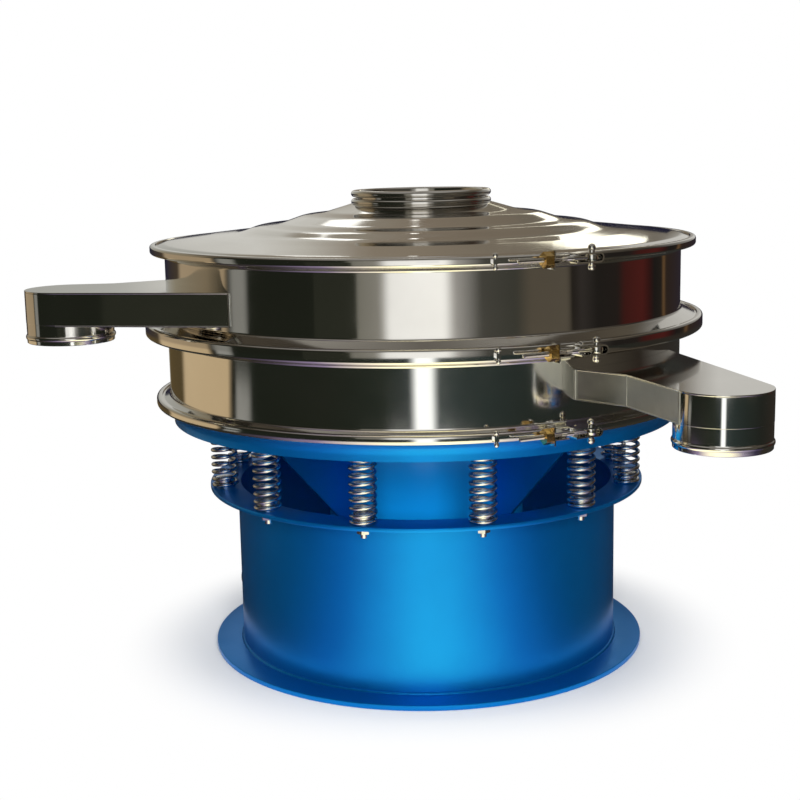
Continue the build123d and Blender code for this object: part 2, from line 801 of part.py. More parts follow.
# Bolts of the motor flange
with BuildPart() as motor_bolts:
    with BuildSketch(level(motor_seat + motor_flange_thickness)):
        with PolarLocations(motor_bolt_circle_radius, motor_bolt_count):
            RegularPolygon(motor_bolt_head_width / 2, 6, major_radius=False)
    extrude(amount=motor_bolt_head)
    with BuildSketch(level(motor_seat + motor_flange_thickness)):
        with PolarLocations(motor_bolt_circle_radius, motor_bolt_count):
            Circle(motor_bolt_diameter / 2)
    extrude(amount=-motor_flange_thickness - drum_ring_thickness - motor_bolt_tail)
motor_bolts.part.label = "motor_bolts"
export_step(motor_bolts.part, "parts/motor_bolts.step")

# Stator inside the housing, and the rotor core inside the stator
stator_middle = (housing_bottom + housing_top) / 2
stator_radius = motor_bore_radius - seat_gap
rotor_radius = stator_radius - stator_thickness - air_gap
stator_bottom = stator_middle - stator_height / 2
with BuildPart() as stator:
    with BuildSketch(level(stator_bottom)):
        Circle(stator_radius)
        Circle(stator_radius - stator_thickness, mode=Mode.SUBTRACT)
    extrude(amount=stator_height)
stator.part.label = "stator"
export_step(stator.part, "parts/stator.step")

with BuildPart() as rotor_core:
    with BuildSketch(level(stator_bottom)):
        Circle(rotor_radius)
        Circle(shaft_radius + running_gap, mode=Mode.SUBTRACT)
    extrude(amount=stator_height)
rotor_core.part.label = "rotor_core"
export_step(rotor_core.part, "parts/rotor_core.step")

# End shields and their bearings; the lower pair is the upper one turned over
shields = [("upper", housing_top, 1), ("lower", housing_bottom, -1)]
for name, housing_end, side in shields:
    outer_face = housing_end + side * shield_thickness
    hub_face = housing_end - side * shield_hub_depth
    pocket_end = outer_face - side * bearing_lip
    with BuildPart() as shield:
        with BuildSketch(Plane.XZ):
            draw_ring(shaft_radius + shaft_hole_gap, motor_radius, *sorted((housing_end, outer_face)))
            draw_ring(shaft_radius + shaft_hole_gap, shield_hub_radius, *sorted((hub_face, outer_face)))
            draw_ring(0, bearing_radius + seat_gap, *sorted((hub_face, pocket_end)), Mode.SUBTRACT)
        revolve(axis=Axis.Z)
    shield.part.label = f"{name}_end_shield"
    export_step(shield.part, f"parts/{name}_end_shield.step")

    with BuildPart() as bearing:
        with BuildSketch(Plane.XZ):
            draw_ring(
                shaft_radius + running_gap,
                bearing_radius,
                *sorted((pocket_end, pocket_end - side * bearing_width)),
            )
        revolve(axis=Axis.Z)
    bearing.part.label = f"{name}_bearing"
    export_step(bearing.part, f"parts/{name}_bearing.step")

# Shaft through the motor, with an unbalance weight at each end
upper_weight_bottom = housing_top + shield_thickness + weight_shield_gap
lower_weight_top = housing_bottom - shield_thickness - weight_shield_gap
shaft_top = upper_weight_bottom + weight_thickness + shaft_tail
shaft_bottom = lower_weight_top - weight_thickness - shaft_tail
with BuildPart() as motor_shaft:
    with BuildSketch(level(shaft_bottom)):
        Circle(shaft_radius)
    extrude(amount=shaft_top - shaft_bottom)
motor_shaft.part.label = "motor_shaft"
export_step(motor_shaft.part, "parts/motor_shaft.step")

weights = [("upper", upper_weight_bottom), ("lower", lower_weight_top - weight_thickness)]
for name, bottom in weights:
    with BuildPart() as weight:
        with BuildSketch(level(bottom)):
            Circle(weight_radius)
            Rectangle(2 * weight_radius, weight_radius, align=(Align.CENTER, Align.MIN), mode=Mode.SUBTRACT)
            Circle(weight_hub_radius)
            Circle(shaft_radius + running_gap, mode=Mode.SUBTRACT)
        extrude(amount=weight_thickness)
    weight.part.label = f"{name}_weight"
    export_step(weight.part, f"parts/{name}_weight.step")
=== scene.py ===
import json
import math

import bpy
from mathutils import Matrix, Vector

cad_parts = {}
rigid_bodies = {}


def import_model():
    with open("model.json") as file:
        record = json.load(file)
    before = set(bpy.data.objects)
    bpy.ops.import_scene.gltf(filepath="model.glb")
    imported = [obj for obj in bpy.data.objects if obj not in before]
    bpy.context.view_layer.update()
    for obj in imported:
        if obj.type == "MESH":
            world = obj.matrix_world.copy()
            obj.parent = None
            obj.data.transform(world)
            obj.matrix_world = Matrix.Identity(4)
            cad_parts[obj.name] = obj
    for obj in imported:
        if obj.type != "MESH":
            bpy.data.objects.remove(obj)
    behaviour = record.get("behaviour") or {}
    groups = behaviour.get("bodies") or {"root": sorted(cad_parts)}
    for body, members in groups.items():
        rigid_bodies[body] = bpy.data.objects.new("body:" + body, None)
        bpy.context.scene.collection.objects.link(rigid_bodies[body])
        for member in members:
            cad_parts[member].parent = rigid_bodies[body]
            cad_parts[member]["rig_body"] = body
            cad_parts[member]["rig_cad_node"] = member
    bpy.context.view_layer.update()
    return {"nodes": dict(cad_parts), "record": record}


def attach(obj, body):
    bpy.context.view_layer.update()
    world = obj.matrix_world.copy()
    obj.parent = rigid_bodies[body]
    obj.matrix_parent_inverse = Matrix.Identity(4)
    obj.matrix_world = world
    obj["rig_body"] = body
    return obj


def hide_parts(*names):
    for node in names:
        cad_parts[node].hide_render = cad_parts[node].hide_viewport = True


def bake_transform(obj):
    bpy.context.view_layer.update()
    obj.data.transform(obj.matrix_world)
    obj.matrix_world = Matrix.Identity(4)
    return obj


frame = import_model()
nodes = frame["nodes"]
mm = 0.001
print("frame loaded with", len(nodes), "nodes")

# camera as fitted to the picture's ellipses
cameraSettings = {
    "place": (0.0, -2.7968, 0.9876), "focal": 1418.3, "down": 10.26, "left": 1.0, "roll": -1.13,
    "sensor": 36, "imageSize": 800,
}


def placeCamera(settings):
    bpy.ops.object.select_all(action="DESELECT")
    bpy.ops.object.camera_add()
    camera = bpy.context.object
    pan = Matrix.Rotation(math.radians(settings["left"]), 4, "Z")
    tilt = Matrix.Rotation(math.radians(90 - settings["down"]), 4, "X")
    roll = Matrix.Rotation(math.radians(settings["roll"]), 4, "Z")
    camera.matrix_world = Matrix.Translation(settings["place"]) @ pan @ tilt @ roll
    camera.data.sensor_width = settings["sensor"]
    camera.data.lens = settings["focal"] * settings["sensor"] / settings["imageSize"]
    bpy.context.scene.camera = camera


placeCamera(cameraSettings)
print("camera placed")


# shader node groups that several finishes share
def newGroup(name, inputs, outputs):
    group = bpy.data.node_groups.new(name, "ShaderNodeTree")
    for label, kind, value in inputs:
        socket = group.interface.new_socket(label, in_out="INPUT", socket_type=kind)
        socket.default_value = value
    for label, kind in outputs:
        group.interface.new_socket(label, in_out="OUTPUT", socket_type=kind)
    start = group.nodes.new("NodeGroupInput")
    end = group.nodes.new("NodeGroupOutput")
    return group, start, end


def addCloud(group, start, detail, low, high):
    # noise in the piece's own coordinates, stretched to its full range
    place = group.nodes.new("ShaderNodeTexCoord")
    noise = group.nodes.new("ShaderNodeTexNoise")
    noise.inputs["Detail"].default_value = detail
    spread = group.nodes.new("ShaderNodeMapRange")
    spread.inputs["From Min"].default_value = low
    spread.inputs["From Max"].default_value = high
    group.links.new(place.outputs["Object"], noise.inputs["Vector"])
    group.links.new(start.outputs["Scale"], noise.inputs["Scale"])
    group.links.new(noise.outputs["Fac"], spread.inputs["Value"])
    return spread


def makeDrift():
    # slow change of a value between two limits
    group, start, end = newGroup(
        "finishDrift",
        [
            ("Scale", "NodeSocketFloat", 8.0),
            ("Low", "NodeSocketFloat", 0.1),
            ("High", "NodeSocketFloat", 0.2),
        ],
        [("Value", "NodeSocketFloat")],
    )
    spread = addCloud(group, start, 5, 0.3, 0.7)
    link = group.links.new
    link(start.outputs["Low"], spread.inputs["To Min"])
    link(start.outputs["High"], spread.inputs["To Max"])
    link(spread.outputs["Result"], end.inputs["Value"])
    return group


def makeLines():
    # fine polishing lines that run round the machine, with broad waves of the sheet under them
    group, start, end = newGroup(
        "polishLines",
        [
            ("Lines", "NodeSocketFloat", 500.0),
            ("Waves", "NodeSocketFloat", 3.0),
            ("Line share", "NodeSocketFloat", 0.1),
        ],
        [("Height", "NodeSocketFloat")],
    )
    place = group.nodes.new("ShaderNodeTexCoord")
    stretch = group.nodes.new("ShaderNodeMapping")
    stretch.inputs["Scale"].default_value = (0.02, 0.02, 1.0)
    lines = group.nodes.new("ShaderNodeTexNoise")
    waves = group.nodes.new("ShaderNodeTexNoise")
    waves.inputs["Detail"].default_value = 1
    blend = group.nodes.new("ShaderNodeMix")
    link = group.links.new
    link(place.outputs["Object"], stretch.inputs["Vector"])
    link(stretch.outputs["Vector"], lines.inputs["Vector"])
    link(start.outputs["Lines"], lines.inputs["Scale"])
    link(place.outputs["Object"], waves.inputs["Vector"])
    link(start.outputs["Waves"], waves.inputs["Scale"])
    link(start.outputs["Line share"], blend.inputs["Factor"])
    link(waves.outputs["Fac"], blend.inputs["A"])
    link(lines.outputs["Fac"], blend.inputs["B"])
    link(blend.outputs["Result"], end.inputs["Height"])
    return group


def makeTint():
    # cloudy mix of two colours
    group, start, end = newGroup(
        "cloudyTint",
        [
            ("Scale", "NodeSocketFloat", 10.0),
            ("First", "NodeSocketColor", (0.5, 0.5, 0.5, 1)),
            ("Second", "NodeSocketColor", (0.6, 0.6, 0.6, 1)),
        ],
        [("Color", "NodeSocketColor")],
    )
    spread = addCloud(group, start, 6, 0.35, 0.65)
    blend = group.nodes.new("ShaderNodeMix")
    blend.data_type = "RGBA"
    link = group.links.new
    link(spread.outputs["Result"], blend.inputs["Factor"])
    link(start.outputs["First"], blend.inputs["A"])
    link(start.outputs["Second"], blend.inputs["B"])
    link(blend.outputs["Result"], end.inputs["Color"])
    return group


driftGroup, linesGroup, tintGroup = makeDrift(), makeLines(), makeTint()

# one entry for each finish: two tints, then the limits of the roughness, then the bump
finishes = {
    "polished_steel": {
        "first": (0.74, 0.72, 0.68), "second": (0.80, 0.78, 0.74), "tintScale": 6,
        "low": 0.05, "high": 0.11, "roughScale": 9, "metallic": 1.0,
        "lines": 500, "waves": 3.5, "lineShare": 0.004, "bump": 0.10, "depth": 0.01,
    },
    "blue_paint": {
        "first": (0.002, 0.216, 0.66), "second": (0.002, 0.234, 0.70), "tintScale": 5,
        "low": 0.30, "high": 0.36, "roughScale": 14, "metallic": 0.85,
        "lines": 60, "waves": 260, "lineShare": 0.1, "bump": 0.10, "depth": 0.001,
    },
    # the blue paint again, lighter and less metallic: painted light, so the motor drum looks lit behind the
    # springs
    "lit_drum_paint": {
        "first": (0.003, 0.275, 0.75), "second": (0.003, 0.295, 0.79), "tintScale": 5,
        "low": 0.30, "high": 0.36, "roughScale": 14, "metallic": 0.1,
        "lines": 60, "waves": 260, "lineShare": 0.1, "bump": 0.10, "depth": 0.001,
    },
    "ground_steel": {
        "first": (0.50, 0.50, 0.475), "second": (0.56, 0.56, 0.53), "tintScale": 30,
        "low": 0.30, "high": 0.34, "roughScale": 30, "metallic": 1.0,
        "lines": 500, "waves": 40, "lineShare": 0.1, "bump": 0.05, "depth": 0.001,
    },
    "grey_paint": {
        "first": (0.10, 0.12, 0.13), "second": (0.13, 0.15, 0.16), "tintScale": 12,
        "low": 0.4, "high": 0.55, "roughScale": 25, "metallic": 0.0,
        "lines": 80, "waves": 300, "lineShare": 0.1, "bump": 0.2, "depth": 0.001,
    },
    "zinc_steel": {
        "first": (0.72, 0.73, 0.74), "second": (0.82, 0.83, 0.84), "tintScale": 60,
        "low": 0.16, "high": 0.28, "roughScale": 90, "metallic": 1.0,
        "lines": 900, "waves": 120, "lineShare": 0.3, "bump": 0.06, "depth": 0.001,
    },
    "core_steel": {
        "first": (0.42, 0.42, 0.43), "second": (0.52, 0.52, 0.53), "tintScale": 40,
        "low": 0.25, "high": 0.4, "roughScale": 50, "metallic": 1.0,
        "lines": 900, "waves": 90, "lineShare": 0.6, "bump": 0.1, "depth": 0.001,
    },
    "weight_iron": {
        "first": (0.09, 0.09, 0.09), "second": (0.15, 0.145, 0.14), "tintScale": 45,
        "low": 0.5, "high": 0.7, "roughScale": 60, "metallic": 0.6,
        "lines": 300, "waves": 220, "lineShare": 0.2, "bump": 0.35, "depth": 0.001,
    },
    "wire_cloth": {
        "first": (0.55, 0.55, 0.55), "second": (0.62, 0.62, 0.62), "tintScale": 30,
        "low": 0.3, "high": 0.4, "roughScale": 40, "metallic": 1.0,
        "lines": 500, "waves": 60, "lineShare": 0.3, "bump": 0.1, "depth": 0.001,
    },
    "brass": {
        "first": (0.66, 0.42, 0.13), "second": (0.78, 0.55, 0.22), "tintScale": 80,
        "low": 0.14, "high": 0.26, "roughScale": 90, "metallic": 1.0,
        "lines": 700, "waves": 110, "lineShare": 0.3, "bump": 0.06, "depth": 0.001,
    },
    "black_rubber": {
        "first": (0.012, 0.012, 0.012), "second": (0.022, 0.022, 0.022), "tintScale": 50,
        "low": 0.45, "high": 0.6, "roughScale": 70, "metallic": 0.0,
        "lines": 300, "waves": 400, "lineShare": 0.1, "bump": 0.2, "depth": 0.001,
    },
    "white_rubber": {
        "first": (0.74, 0.73, 0.69), "second": (0.80, 0.79, 0.75), "tintScale": 20,
        "low": 0.5, "high": 0.6, "roughScale": 40, "metallic": 0.0,
        "lines": 200, "waves": 300, "lineShare": 0.1, "bump": 0.15, "depth": 0.001,
    },
}


def placeGroup(tree, group, values):
    node = tree.nodes.new("ShaderNodeGroup")
    node.node_tree = group
    for label, value in values.items():
        node.inputs[label].default_value = value
    return node


def makeFinish(name, settings):
    material = bpy.data.materials.new(name)
    material.use_nodes = True
    tree = material.node_tree
    link = tree.links.new
    shader = tree.nodes["Principled BSDF"]
    shader.inputs["Metallic"].default_value = settings["metallic"]
    tints = {"First": (*settings["first"], 1), "Second": (*settings["second"], 1)}
    tint = placeGroup(tree, tintGroup, {"Scale": settings["tintScale"], **tints})
    limits = {"Low": settings["low"], "High": settings["high"]}
    drift = placeGroup(tree, driftGroup, {"Scale": settings["roughScale"], **limits})
    relief = {"Lines": settings["lines"], "Waves": settings["waves"], "Line share": settings["lineShare"]}
    lines = placeGroup(tree, linesGroup, relief)
    bump = tree.nodes.new("ShaderNodeBump")
    bump.inputs["Strength"].default_value = settings["bump"]
    bump.inputs["Distance"].default_value = settings["depth"]
    link(tint.outputs["Color"], shader.inputs["Base Color"])
    link(drift.outputs["Value"], shader.inputs["Roughness"])
    link(lines.outputs["Height"], bump.inputs["Height"])
    link(bump.outputs["Normal"], shader.inputs["Normal"])
    return material


materials = {name: makeFinish(name, settings) for name, settings in finishes.items()}
nodeSlots = {part["node"]: part["material_slot"] for part in frame["record"]["subparts"]}
for name, node in nodes.items():
    node.data.materials.clear()
    node.data.materials.append(materials[nodeSlots[name]])
print("finishes made:", ", ".join(materials))


# modelling helpers
def selectOnly(piece):
    bpy.ops.object.select_all(action="DESELECT")
    piece.select_set(True)
    bpy.context.view_layer.objects.active = piece


def startEdit(piece, everything=True):
    selectOnly(piece)
    bpy.ops.object.mode_set(mode="EDIT")
    bpy.ops.mesh.select_all(action="SELECT" if everything else "DESELECT")


def endEdit():
    bpy.ops.object.mode_set(mode="OBJECT")


def applyModifier(piece, kind, **values):
    selectOnly(piece)
    modifier = piece.modifiers.new(kind.lower(), kind)
    for key, value in values.items():
        setattr(modifier, key, value)
    bpy.ops.object.modifier_apply(modifier=modifier.name)


def smoothByAngle(piece, angle):
    selectOnly(piece)
    bpy.ops.object.shade_smooth_by_angle(angle=math.radians(angle))


def joinPieces(pieces):
    # the first piece takes in the others
    selectOnly(pieces[0])
    for piece in pieces[1:]:
        piece.select_set(True)
    bpy.ops.object.join()
    return pieces[0]


def nameAndCoat(piece, name, slot):
    piece.name = name
    piece.data.name = name
    piece.data.materials.clear()
    piece.data.materials.append(materials[slot])


def settle(piece, name, node):
    # gives the piece its node's finish and body, and hides the node
    nameAndCoat(piece, name, nodeSlots[node])
    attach(piece, nodes[node]["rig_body"])
    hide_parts(node)
    return piece


def addOn(piece, name, node, slot):
    # a piece that stands for no node of its own
    nameAndCoat(piece, name, slot)
    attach(piece, nodes[node]["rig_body"])
    return piece


def roundedPath(corners, segments=6):
    # corners are (radius, height, rounding); each corner becomes an arc
    path = []
    for i, (r, z, rounding) in enumerate(corners):
        if i in (0, len(corners) - 1) or rounding <= 0:
            path.append((r, z))
            continue
        here = Vector((r, z))
        back = Vector(corners[i - 1][:2]) - here
        ahead = Vector(corners[i + 1][:2]) - here
        turn = math.pi - back.angle(ahead)
        if turn < 0.01:
            path.append((r, z))
            continue
        reach = min(rounding * math.tan(turn / 2), back.length * 0.49, ahead.length * 0.49)
        radius = reach / math.tan(turn / 2)
        bisector = (back.normalized() + ahead.normalized()).normalized()
        centre = here + bisector * radius / math.cos(turn / 2)
        first = here + back.normalized() * reach - centre
        last = here + ahead.normalized() * reach - centre
        sweep = math.atan2(first.x * last.y - first.y * last.x, first.dot(last))
        for k in range(segments + 1):
            angle = sweep * k / segments
            x = first.x * math.cos(angle) - first.y * math.sin(angle)
            y = first.x * math.sin(angle) + first.y * math.cos(angle)
            path.append((centre.x + x, centre.y + y))
    return path


def drawLine(points):
    # one vertex is extruded from point to point; the line stays in edit mode
    bpy.ops.object.select_all(action="DESELECT")
    bpy.ops.mesh.primitive_plane_add(size=0.01)
    line = bpy.context.object
    startEdit(line)
    bpy.ops.mesh.merge(type="CENTER")
    bpy.ops.transform.translate(value=points[0])
    for before, after in zip(points, points[1:]):
        bpy.ops.mesh.extrude_vertices_move(TRANSFORM_OT_translate={"value": after - before})
    bpy.ops.mesh.select_all(action="SELECT")
    return line


def spinPath(path, steps, centre=(0.0, 0.0), fromAngle=0.0, sweep=360.0, inside=None):
    # a line along the path is spun round an upright axis; millimetres in, metres out
    across = (math.sin(math.radians(fromAngle)), -math.cos(math.radians(fromAngle)))
    points = [Vector((centre[0] + r * across[0], centre[1] + r * across[1], z)) * mm for r, z in path]
    piece = drawLine(points)
    axisFoot = Vector((centre[0] * mm, centre[1] * mm, 0))
    bpy.ops.mesh.spin(steps=steps, angle=math.radians(sweep), center=axisFoot, axis=(0, 0, 1))
    bpy.ops.mesh.select_all(action="SELECT")
    bpy.ops.mesh.remove_doubles(threshold=1e-6)
    bpy.ops.mesh.normals_make_consistent(inside=False)
    endEdit()
    if inside:
        # the surface has to face away from this ring inside the sheet
        outward = 0.0
        for face in piece.data.polygons:
            spoke = face.center - axisFoot
            spoke.z = 0
            core = axisFoot + spoke.normalized() * inside[0] * mm
            core.z = inside[1] * mm
            outward += face.normal.dot(face.center - core) * face.area
        if outward < 0:
            startEdit(piece)
            bpy.ops.mesh.flip_normals()
            endEdit()
    return piece


def cutBlock(piece, size, place, turn):
    # cuts a window with a turned block
    bpy.ops.object.select_all(action="DESELECT")
    bpy.ops.mesh.primitive_cube_add(size=1, location=place, rotation=(0, 0, turn))
    block = bpy.context.object
    block.scale = size
    bpy.ops.object.transform_apply(location=True, rotation=True, scale=True)
    applyModifier(piece, "BOOLEAN", operation="DIFFERENCE", object=block, solver="EXACT")
    bpy.data.objects.remove(block)


def dressNode(node, width, name, segments=2, angle=32):
    # a merged copy of the node with its edges broken
    selectOnly(nodes[node])
    bpy.ops.object.duplicate()
    piece = bpy.context.object
    piece.parent = None
    piece.matrix_world = Matrix.Identity(4)
    del piece["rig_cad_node"]
    startEdit(piece)
    bpy.ops.mesh.remove_doubles(threshold=2e-6)
    bpy.ops.mesh.customdata_custom_splitnormals_clear()
    bpy.ops.mesh.dissolve_limited(angle_limit=math.radians(1))
    endEdit()
    applyModifier(
        piece, "BEVEL", width=width * mm, segments=segments, limit_method="ANGLE",
        angle_limit=math.radians(angle), use_clamp_overlap=True, miter_outer="MITER_ARC",
    )
    smoothByAngle(piece, 40)
    applyModifier(piece, "WEIGHTED_NORMAL", mode="FACE_AREA", weight=50, keep_sharp=True)
    return settle(piece, name, node)


# base: drum, two flanges and the rippled welds between them
baseSettings = {
    "radius": 377, "wall": 6, "flangeRadius": 431, "floorFlange": 10, "springFlange": (325, 333), "edge": 1.6,
    "opening": (0.19, 0.08, 0.14), "openingPlace": (0, 0.374, 0.14), "steps": 192,
    "bead": 4.2, "beadSteps": 420, "beadSides": 8, "rippleEvery": 3, "ripple": 0.8,
}


def makeBase(settings):
    radius, edge, outer = settings["radius"], settings["edge"], settings["flangeRadius"]
    inner = radius - settings["wall"]
    foot = settings["floorFlange"]
    low, high = settings["springFlange"]
    path = [(inner, foot), (radius, foot), (radius, low), (inner, low), (inner, foot)]
    drum = spinPath(path, settings["steps"])
    cutBlock(drum, settings["opening"], settings["openingPlace"], 0)
    smoothByAngle(drum, 30)
    settle(drum, "baseDrum", "base_drum")
    flanges = (("floorFlange", "floor_flange", 0, foot), ("springFlange", "spring_flange", low, high))
    for name, node, bottom, top in flanges:
        section = [(inner, bottom, 0), (outer, bottom, edge), (outer, top, edge), (inner, top, 0)]
        ring = spinPath(roundedPath(section + section[:1], 3), settings["steps"])
        smoothByAngle(ring, 30)
        settle(ring, name, node)
    # rippled weld at the drum's foot and under the spring flange
    sides = settings["beadSides"]
    for name, height in (("footWeld", foot), ("headWeld", low)):
        bpy.ops.object.select_all(action="DESELECT")
        bpy.ops.mesh.primitive_torus_add(
            major_segments=settings["beadSteps"], minor_segments=sides, major_radius=radius * mm,
            minor_radius=settings["bead"] * mm, location=(0, 0, height * mm),
        )
        bead = bpy.context.object
        bpy.ops.object.transform_apply(location=True)
        startEdit(bead, False)
        endEdit()
        for vertex in bead.data.vertices:
            vertex.select = (vertex.index // sides) % settings["rippleEvery"] == 0
        bpy.ops.object.mode_set(mode="EDIT")
        bpy.ops.transform.shrink_fatten(value=settings["ripple"] * mm)
        endEdit()
        smoothByAngle(bead, 60)
        addOn(bead, name, "base_drum", "blue_paint")


makeBase(baseSettings)
print("base made")

# twelve coil springs, closed and ground at both ends
springSettings = {
    "count": 12, "first": 14.2, "circle": 404, "bottom": 333, "height": 131.6, "diameter": 52, "wire": 7.4,
    "coils": 9.6, "steps": 40, "sides": 12, "closed": 0.8, "ground": 0.35, "endTurn": 2.1,
}


def makeSprings(settings):
    wire = settings["wire"] / 2
    mean = settings["diameter"] / 2 - wire
    turns = math.ceil(settings["coils"])
    bpy.ops.object.select_all(action="DESELECT")
    bpy.ops.mesh.primitive_circle_add(
        vertices=settings["sides"], radius=wire * mm, location=(mean * mm, 0, 0), rotation=(math.pi / 2, 0, 0)
    )
    coil = bpy.context.object
    bpy.ops.object.transform_apply(location=True, rotation=True)
    applyModifier(
        coil, "SCREW", axis="Z", angle=math.tau, screw_offset=0.0, iterations=turns, steps=settings["steps"],
        render_steps=settings["steps"], use_merge_vertices=False,
    )
    sides = settings["sides"]
    rings = len(coil.data.vertices) // sides
    # each ring of the wire is lifted along the coil, slowly in the two dead turns
    travel = settings["height"] - settings["wire"]
    closed, coils = settings["closed"], settings["coils"]
    deadRise = settings["wire"] * closed
    liveRise = travel - 2 * deadRise
    for k in range(rings):
        turn = min(k / settings["steps"], coils)
        if turn < closed:
            lift = deadRise * turn / closed
        elif turn > coils - closed:
            lift = travel - deadRise * (coils - turn) / closed
        else:
            lift = deadRise + liveRise * (turn - closed) / (coils - 2 * closed)
        for side in range(sides):
            coil.data.vertices[k * sides + side].co.z += (lift + wire) * mm
    startEdit(coil, False)
    endEdit()
    last = int(coils * settings["steps"])
    for vertex in coil.data.vertices:
        vertex.select = vertex.index // sides > last
    bpy.ops.object.mode_set(mode="EDIT")
    bpy.ops.mesh.delete(type="VERT")
    bpy.ops.mesh.select_all(action="SELECT")
    bpy.ops.mesh.normals_make_consistent(inside=False)
    bpy.ops.mesh.select_all(action="DESELECT")
    bpy.ops.mesh.select_non_manifold()
    bpy.ops.mesh.fill_holes(sides=0)
    # the two ends are ground flat
    ground = wire * settings["ground"]
    for height, up in ((ground, -1), (settings["height"] - ground, 1)):
        bpy.ops.mesh.select_all(action="SELECT")
        bpy.ops.mesh.bisect(
            plane_co=(0, 0, height * mm), plane_no=(0, 0, up), use_fill=True,
            clear_outer=True, clear_inner=False,
        )
    bpy.ops.mesh.select_all(action="SELECT")
    bpy.ops.transform.translate(value=(0, 0, -ground * mm))
    stretch = settings["height"] / (settings["height"] - 2 * ground)
    bpy.ops.transform.resize(value=(1, 1, stretch), center_override=(0, 0, 0))
    endEdit()
    smoothByAngle(coil, 40)
    coil.data.materials.clear()
    coil.data.materials.append(materials["zinc_steel"])
    for k in range(settings["count"]):
        angle = math.radians(settings["first"] + k * 360 / settings["count"])
        spring = coil.copy()
        spring.data = coil.data.copy()
        bpy.context.scene.collection.objects.link(spring)
        place = Vector((math.sin(angle), -math.cos(angle), 0)) * settings["circle"] * mm
        place.z = settings["bottom"] * mm
        turned = Matrix.Rotation(angle + settings["endTurn"], 4, "Z")
        spring.data.transform(Matrix.Translation(place) @ turned)
        spring.name = f"supportSpring{k + 1:02d}"
        spring.data.name = spring.name
        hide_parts("support_springs")
        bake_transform(spring)
    bpy.data.objects.remove(coil)


makeSprings(springSettings)
print("springs wound")

# deck rim and motor drum
deckSettings = {
    "rim": [(495, 465, 0), (495, 484, 20), (513, 501.5, 12), (521, 501.5, 0)], "sheet": 3, "steps": 192,
    "drum": [(189, 258, 0), (195, 258, 0), (195, 465, 0), (189, 465, 0), (189, 258, 0)],
    "inside": (480, 500), "gussetEdge": 1.5,
}


def makeDeck(settings):
    rim = spinPath(roundedPath(settings["rim"]), settings["steps"], inside=settings["inside"])
    applyModifier(rim, "SOLIDIFY", thickness=settings["sheet"] * mm, offset=-1, use_even_offset=True)
    smoothByAngle(rim, 30)
    settle(rim, "deckRim", "deck_rim")
    drum = spinPath(roundedPath(settings["drum"]), settings["steps"])
    smoothByAngle(drum, 30)
    settle(drum, "motorDrum", "motor_drum")
    drum.data.materials[0] = materials["lit_drum_paint"]  # the same paint, made lighter and less metallic on the drum behind the springs: painted light
    dressNode("gussets", settings["gussetEdge"], "drumGussets")


makeDeck(deckSettings)
print("deck made")

# sieve frames: flanged rims above and below a rolled wall, a window for each chute
frameSettings = {
    "lower": [(521, 513.5, 0), (512, 513.5, 8), (500, 518.5, 5), (500, 628, 6), (528, 637, 8), (535, 637, 0)],
    "upper": [(535, 658, 0), (528, 658, 8), (500, 670, 6), (500, 783, 5), (512, 792, 8), (521, 792, 0)],
    "sheet": 3, "steps": 224, "inside": {"lower": (470, 575), "upper": (470, 725)},
    "window": (0.277, 0.16, 0.046), "windowPlace": (-0.011, -0.49),
    "windowAngle": {"lower": 48.6, "upper": -59.4}, "windowHeight": {"lower": 0.581, "upper": 0.715},
}


def makeFrame(settings, which):
    path = roundedPath(settings[which], 8)
    wall = spinPath(path, settings["steps"], inside=settings["inside"][which])
    applyModifier(wall, "SOLIDIFY", thickness=settings["sheet"] * mm, offset=-1, use_even_offset=True)
    turn = math.radians(settings["windowAngle"][which])
    window = Vector((*settings["windowPlace"], settings["windowHeight"][which]))
    cutBlock(wall, settings["window"], Matrix.Rotation(turn, 4, "Z") @ window, turn)
    smoothByAngle(wall, 30)
    settle(wall, f"{which}Frame", f"{which}_frame")


makeFrame(frameSettings, "lower")
makeFrame(frameSettings, "upper")
print("frames rolled")

# lid with soft pressed steps, and the inlet collar with its two beads
lidSettings = {
    "steps": [
        (521, 804, 0), (513, 804, 10), (500, 808.5, 40), (415, 818, 120), (356, 822.5, 110), (319, 835.5, 90),
        (273, 839.5, 90), (230, 854, 90), (187, 858.5, 90), (138, 873, 60), (124.2, 876.5, 0),
    ],
    "sheet": 3, "turns": 224, "inside": (300, 700),
    "collar": {
        "inner": 121, "outer": 124, "foot": 871, "beadRadius": 6.5, "beadPlace": 130, "turns": 144,
        "beads": ((877.2, -60, 125), (892.7, -125, 90)), "beadSteps": 14,  # height, first and last angle
    },
}


def makeLid(settings):
    lid = spinPath(roundedPath(settings["steps"], 8), settings["turns"], inside=settings["inside"])
    applyModifier(lid, "SOLIDIFY", thickness=settings["sheet"] * mm, offset=-1, use_even_offset=True)
    smoothByAngle(lid, 30)
    settle(lid, "steppedLid", "lid")
    shape = settings["collar"]
    inner, outer, foot, radius = shape["inner"], shape["outer"], shape["foot"], shape["beadRadius"]
    path = [(outer, foot), (outer, foot + 2)]
    for height, first, last in shape["beads"]:
        for k in range(shape["beadSteps"] + 1):
            angle = math.radians(first + (last - first) * k / shape["beadSteps"])
            path.append((shape["beadPlace"] + radius * math.cos(angle), height + radius * math.sin(angle)))
    top = shape["beads"][-1][0] + radius
    path += [(outer, top), (inner + 1, top - 1), (inner, top - 3), (inner, foot), (outer, foot)]
    collar = spinPath(path, shape["turns"])
    smoothByAngle(collar, 40)
    settle(collar, "inletCollar", "inlet_collar")


makeLid(lidSettings)
print("lid pressed")

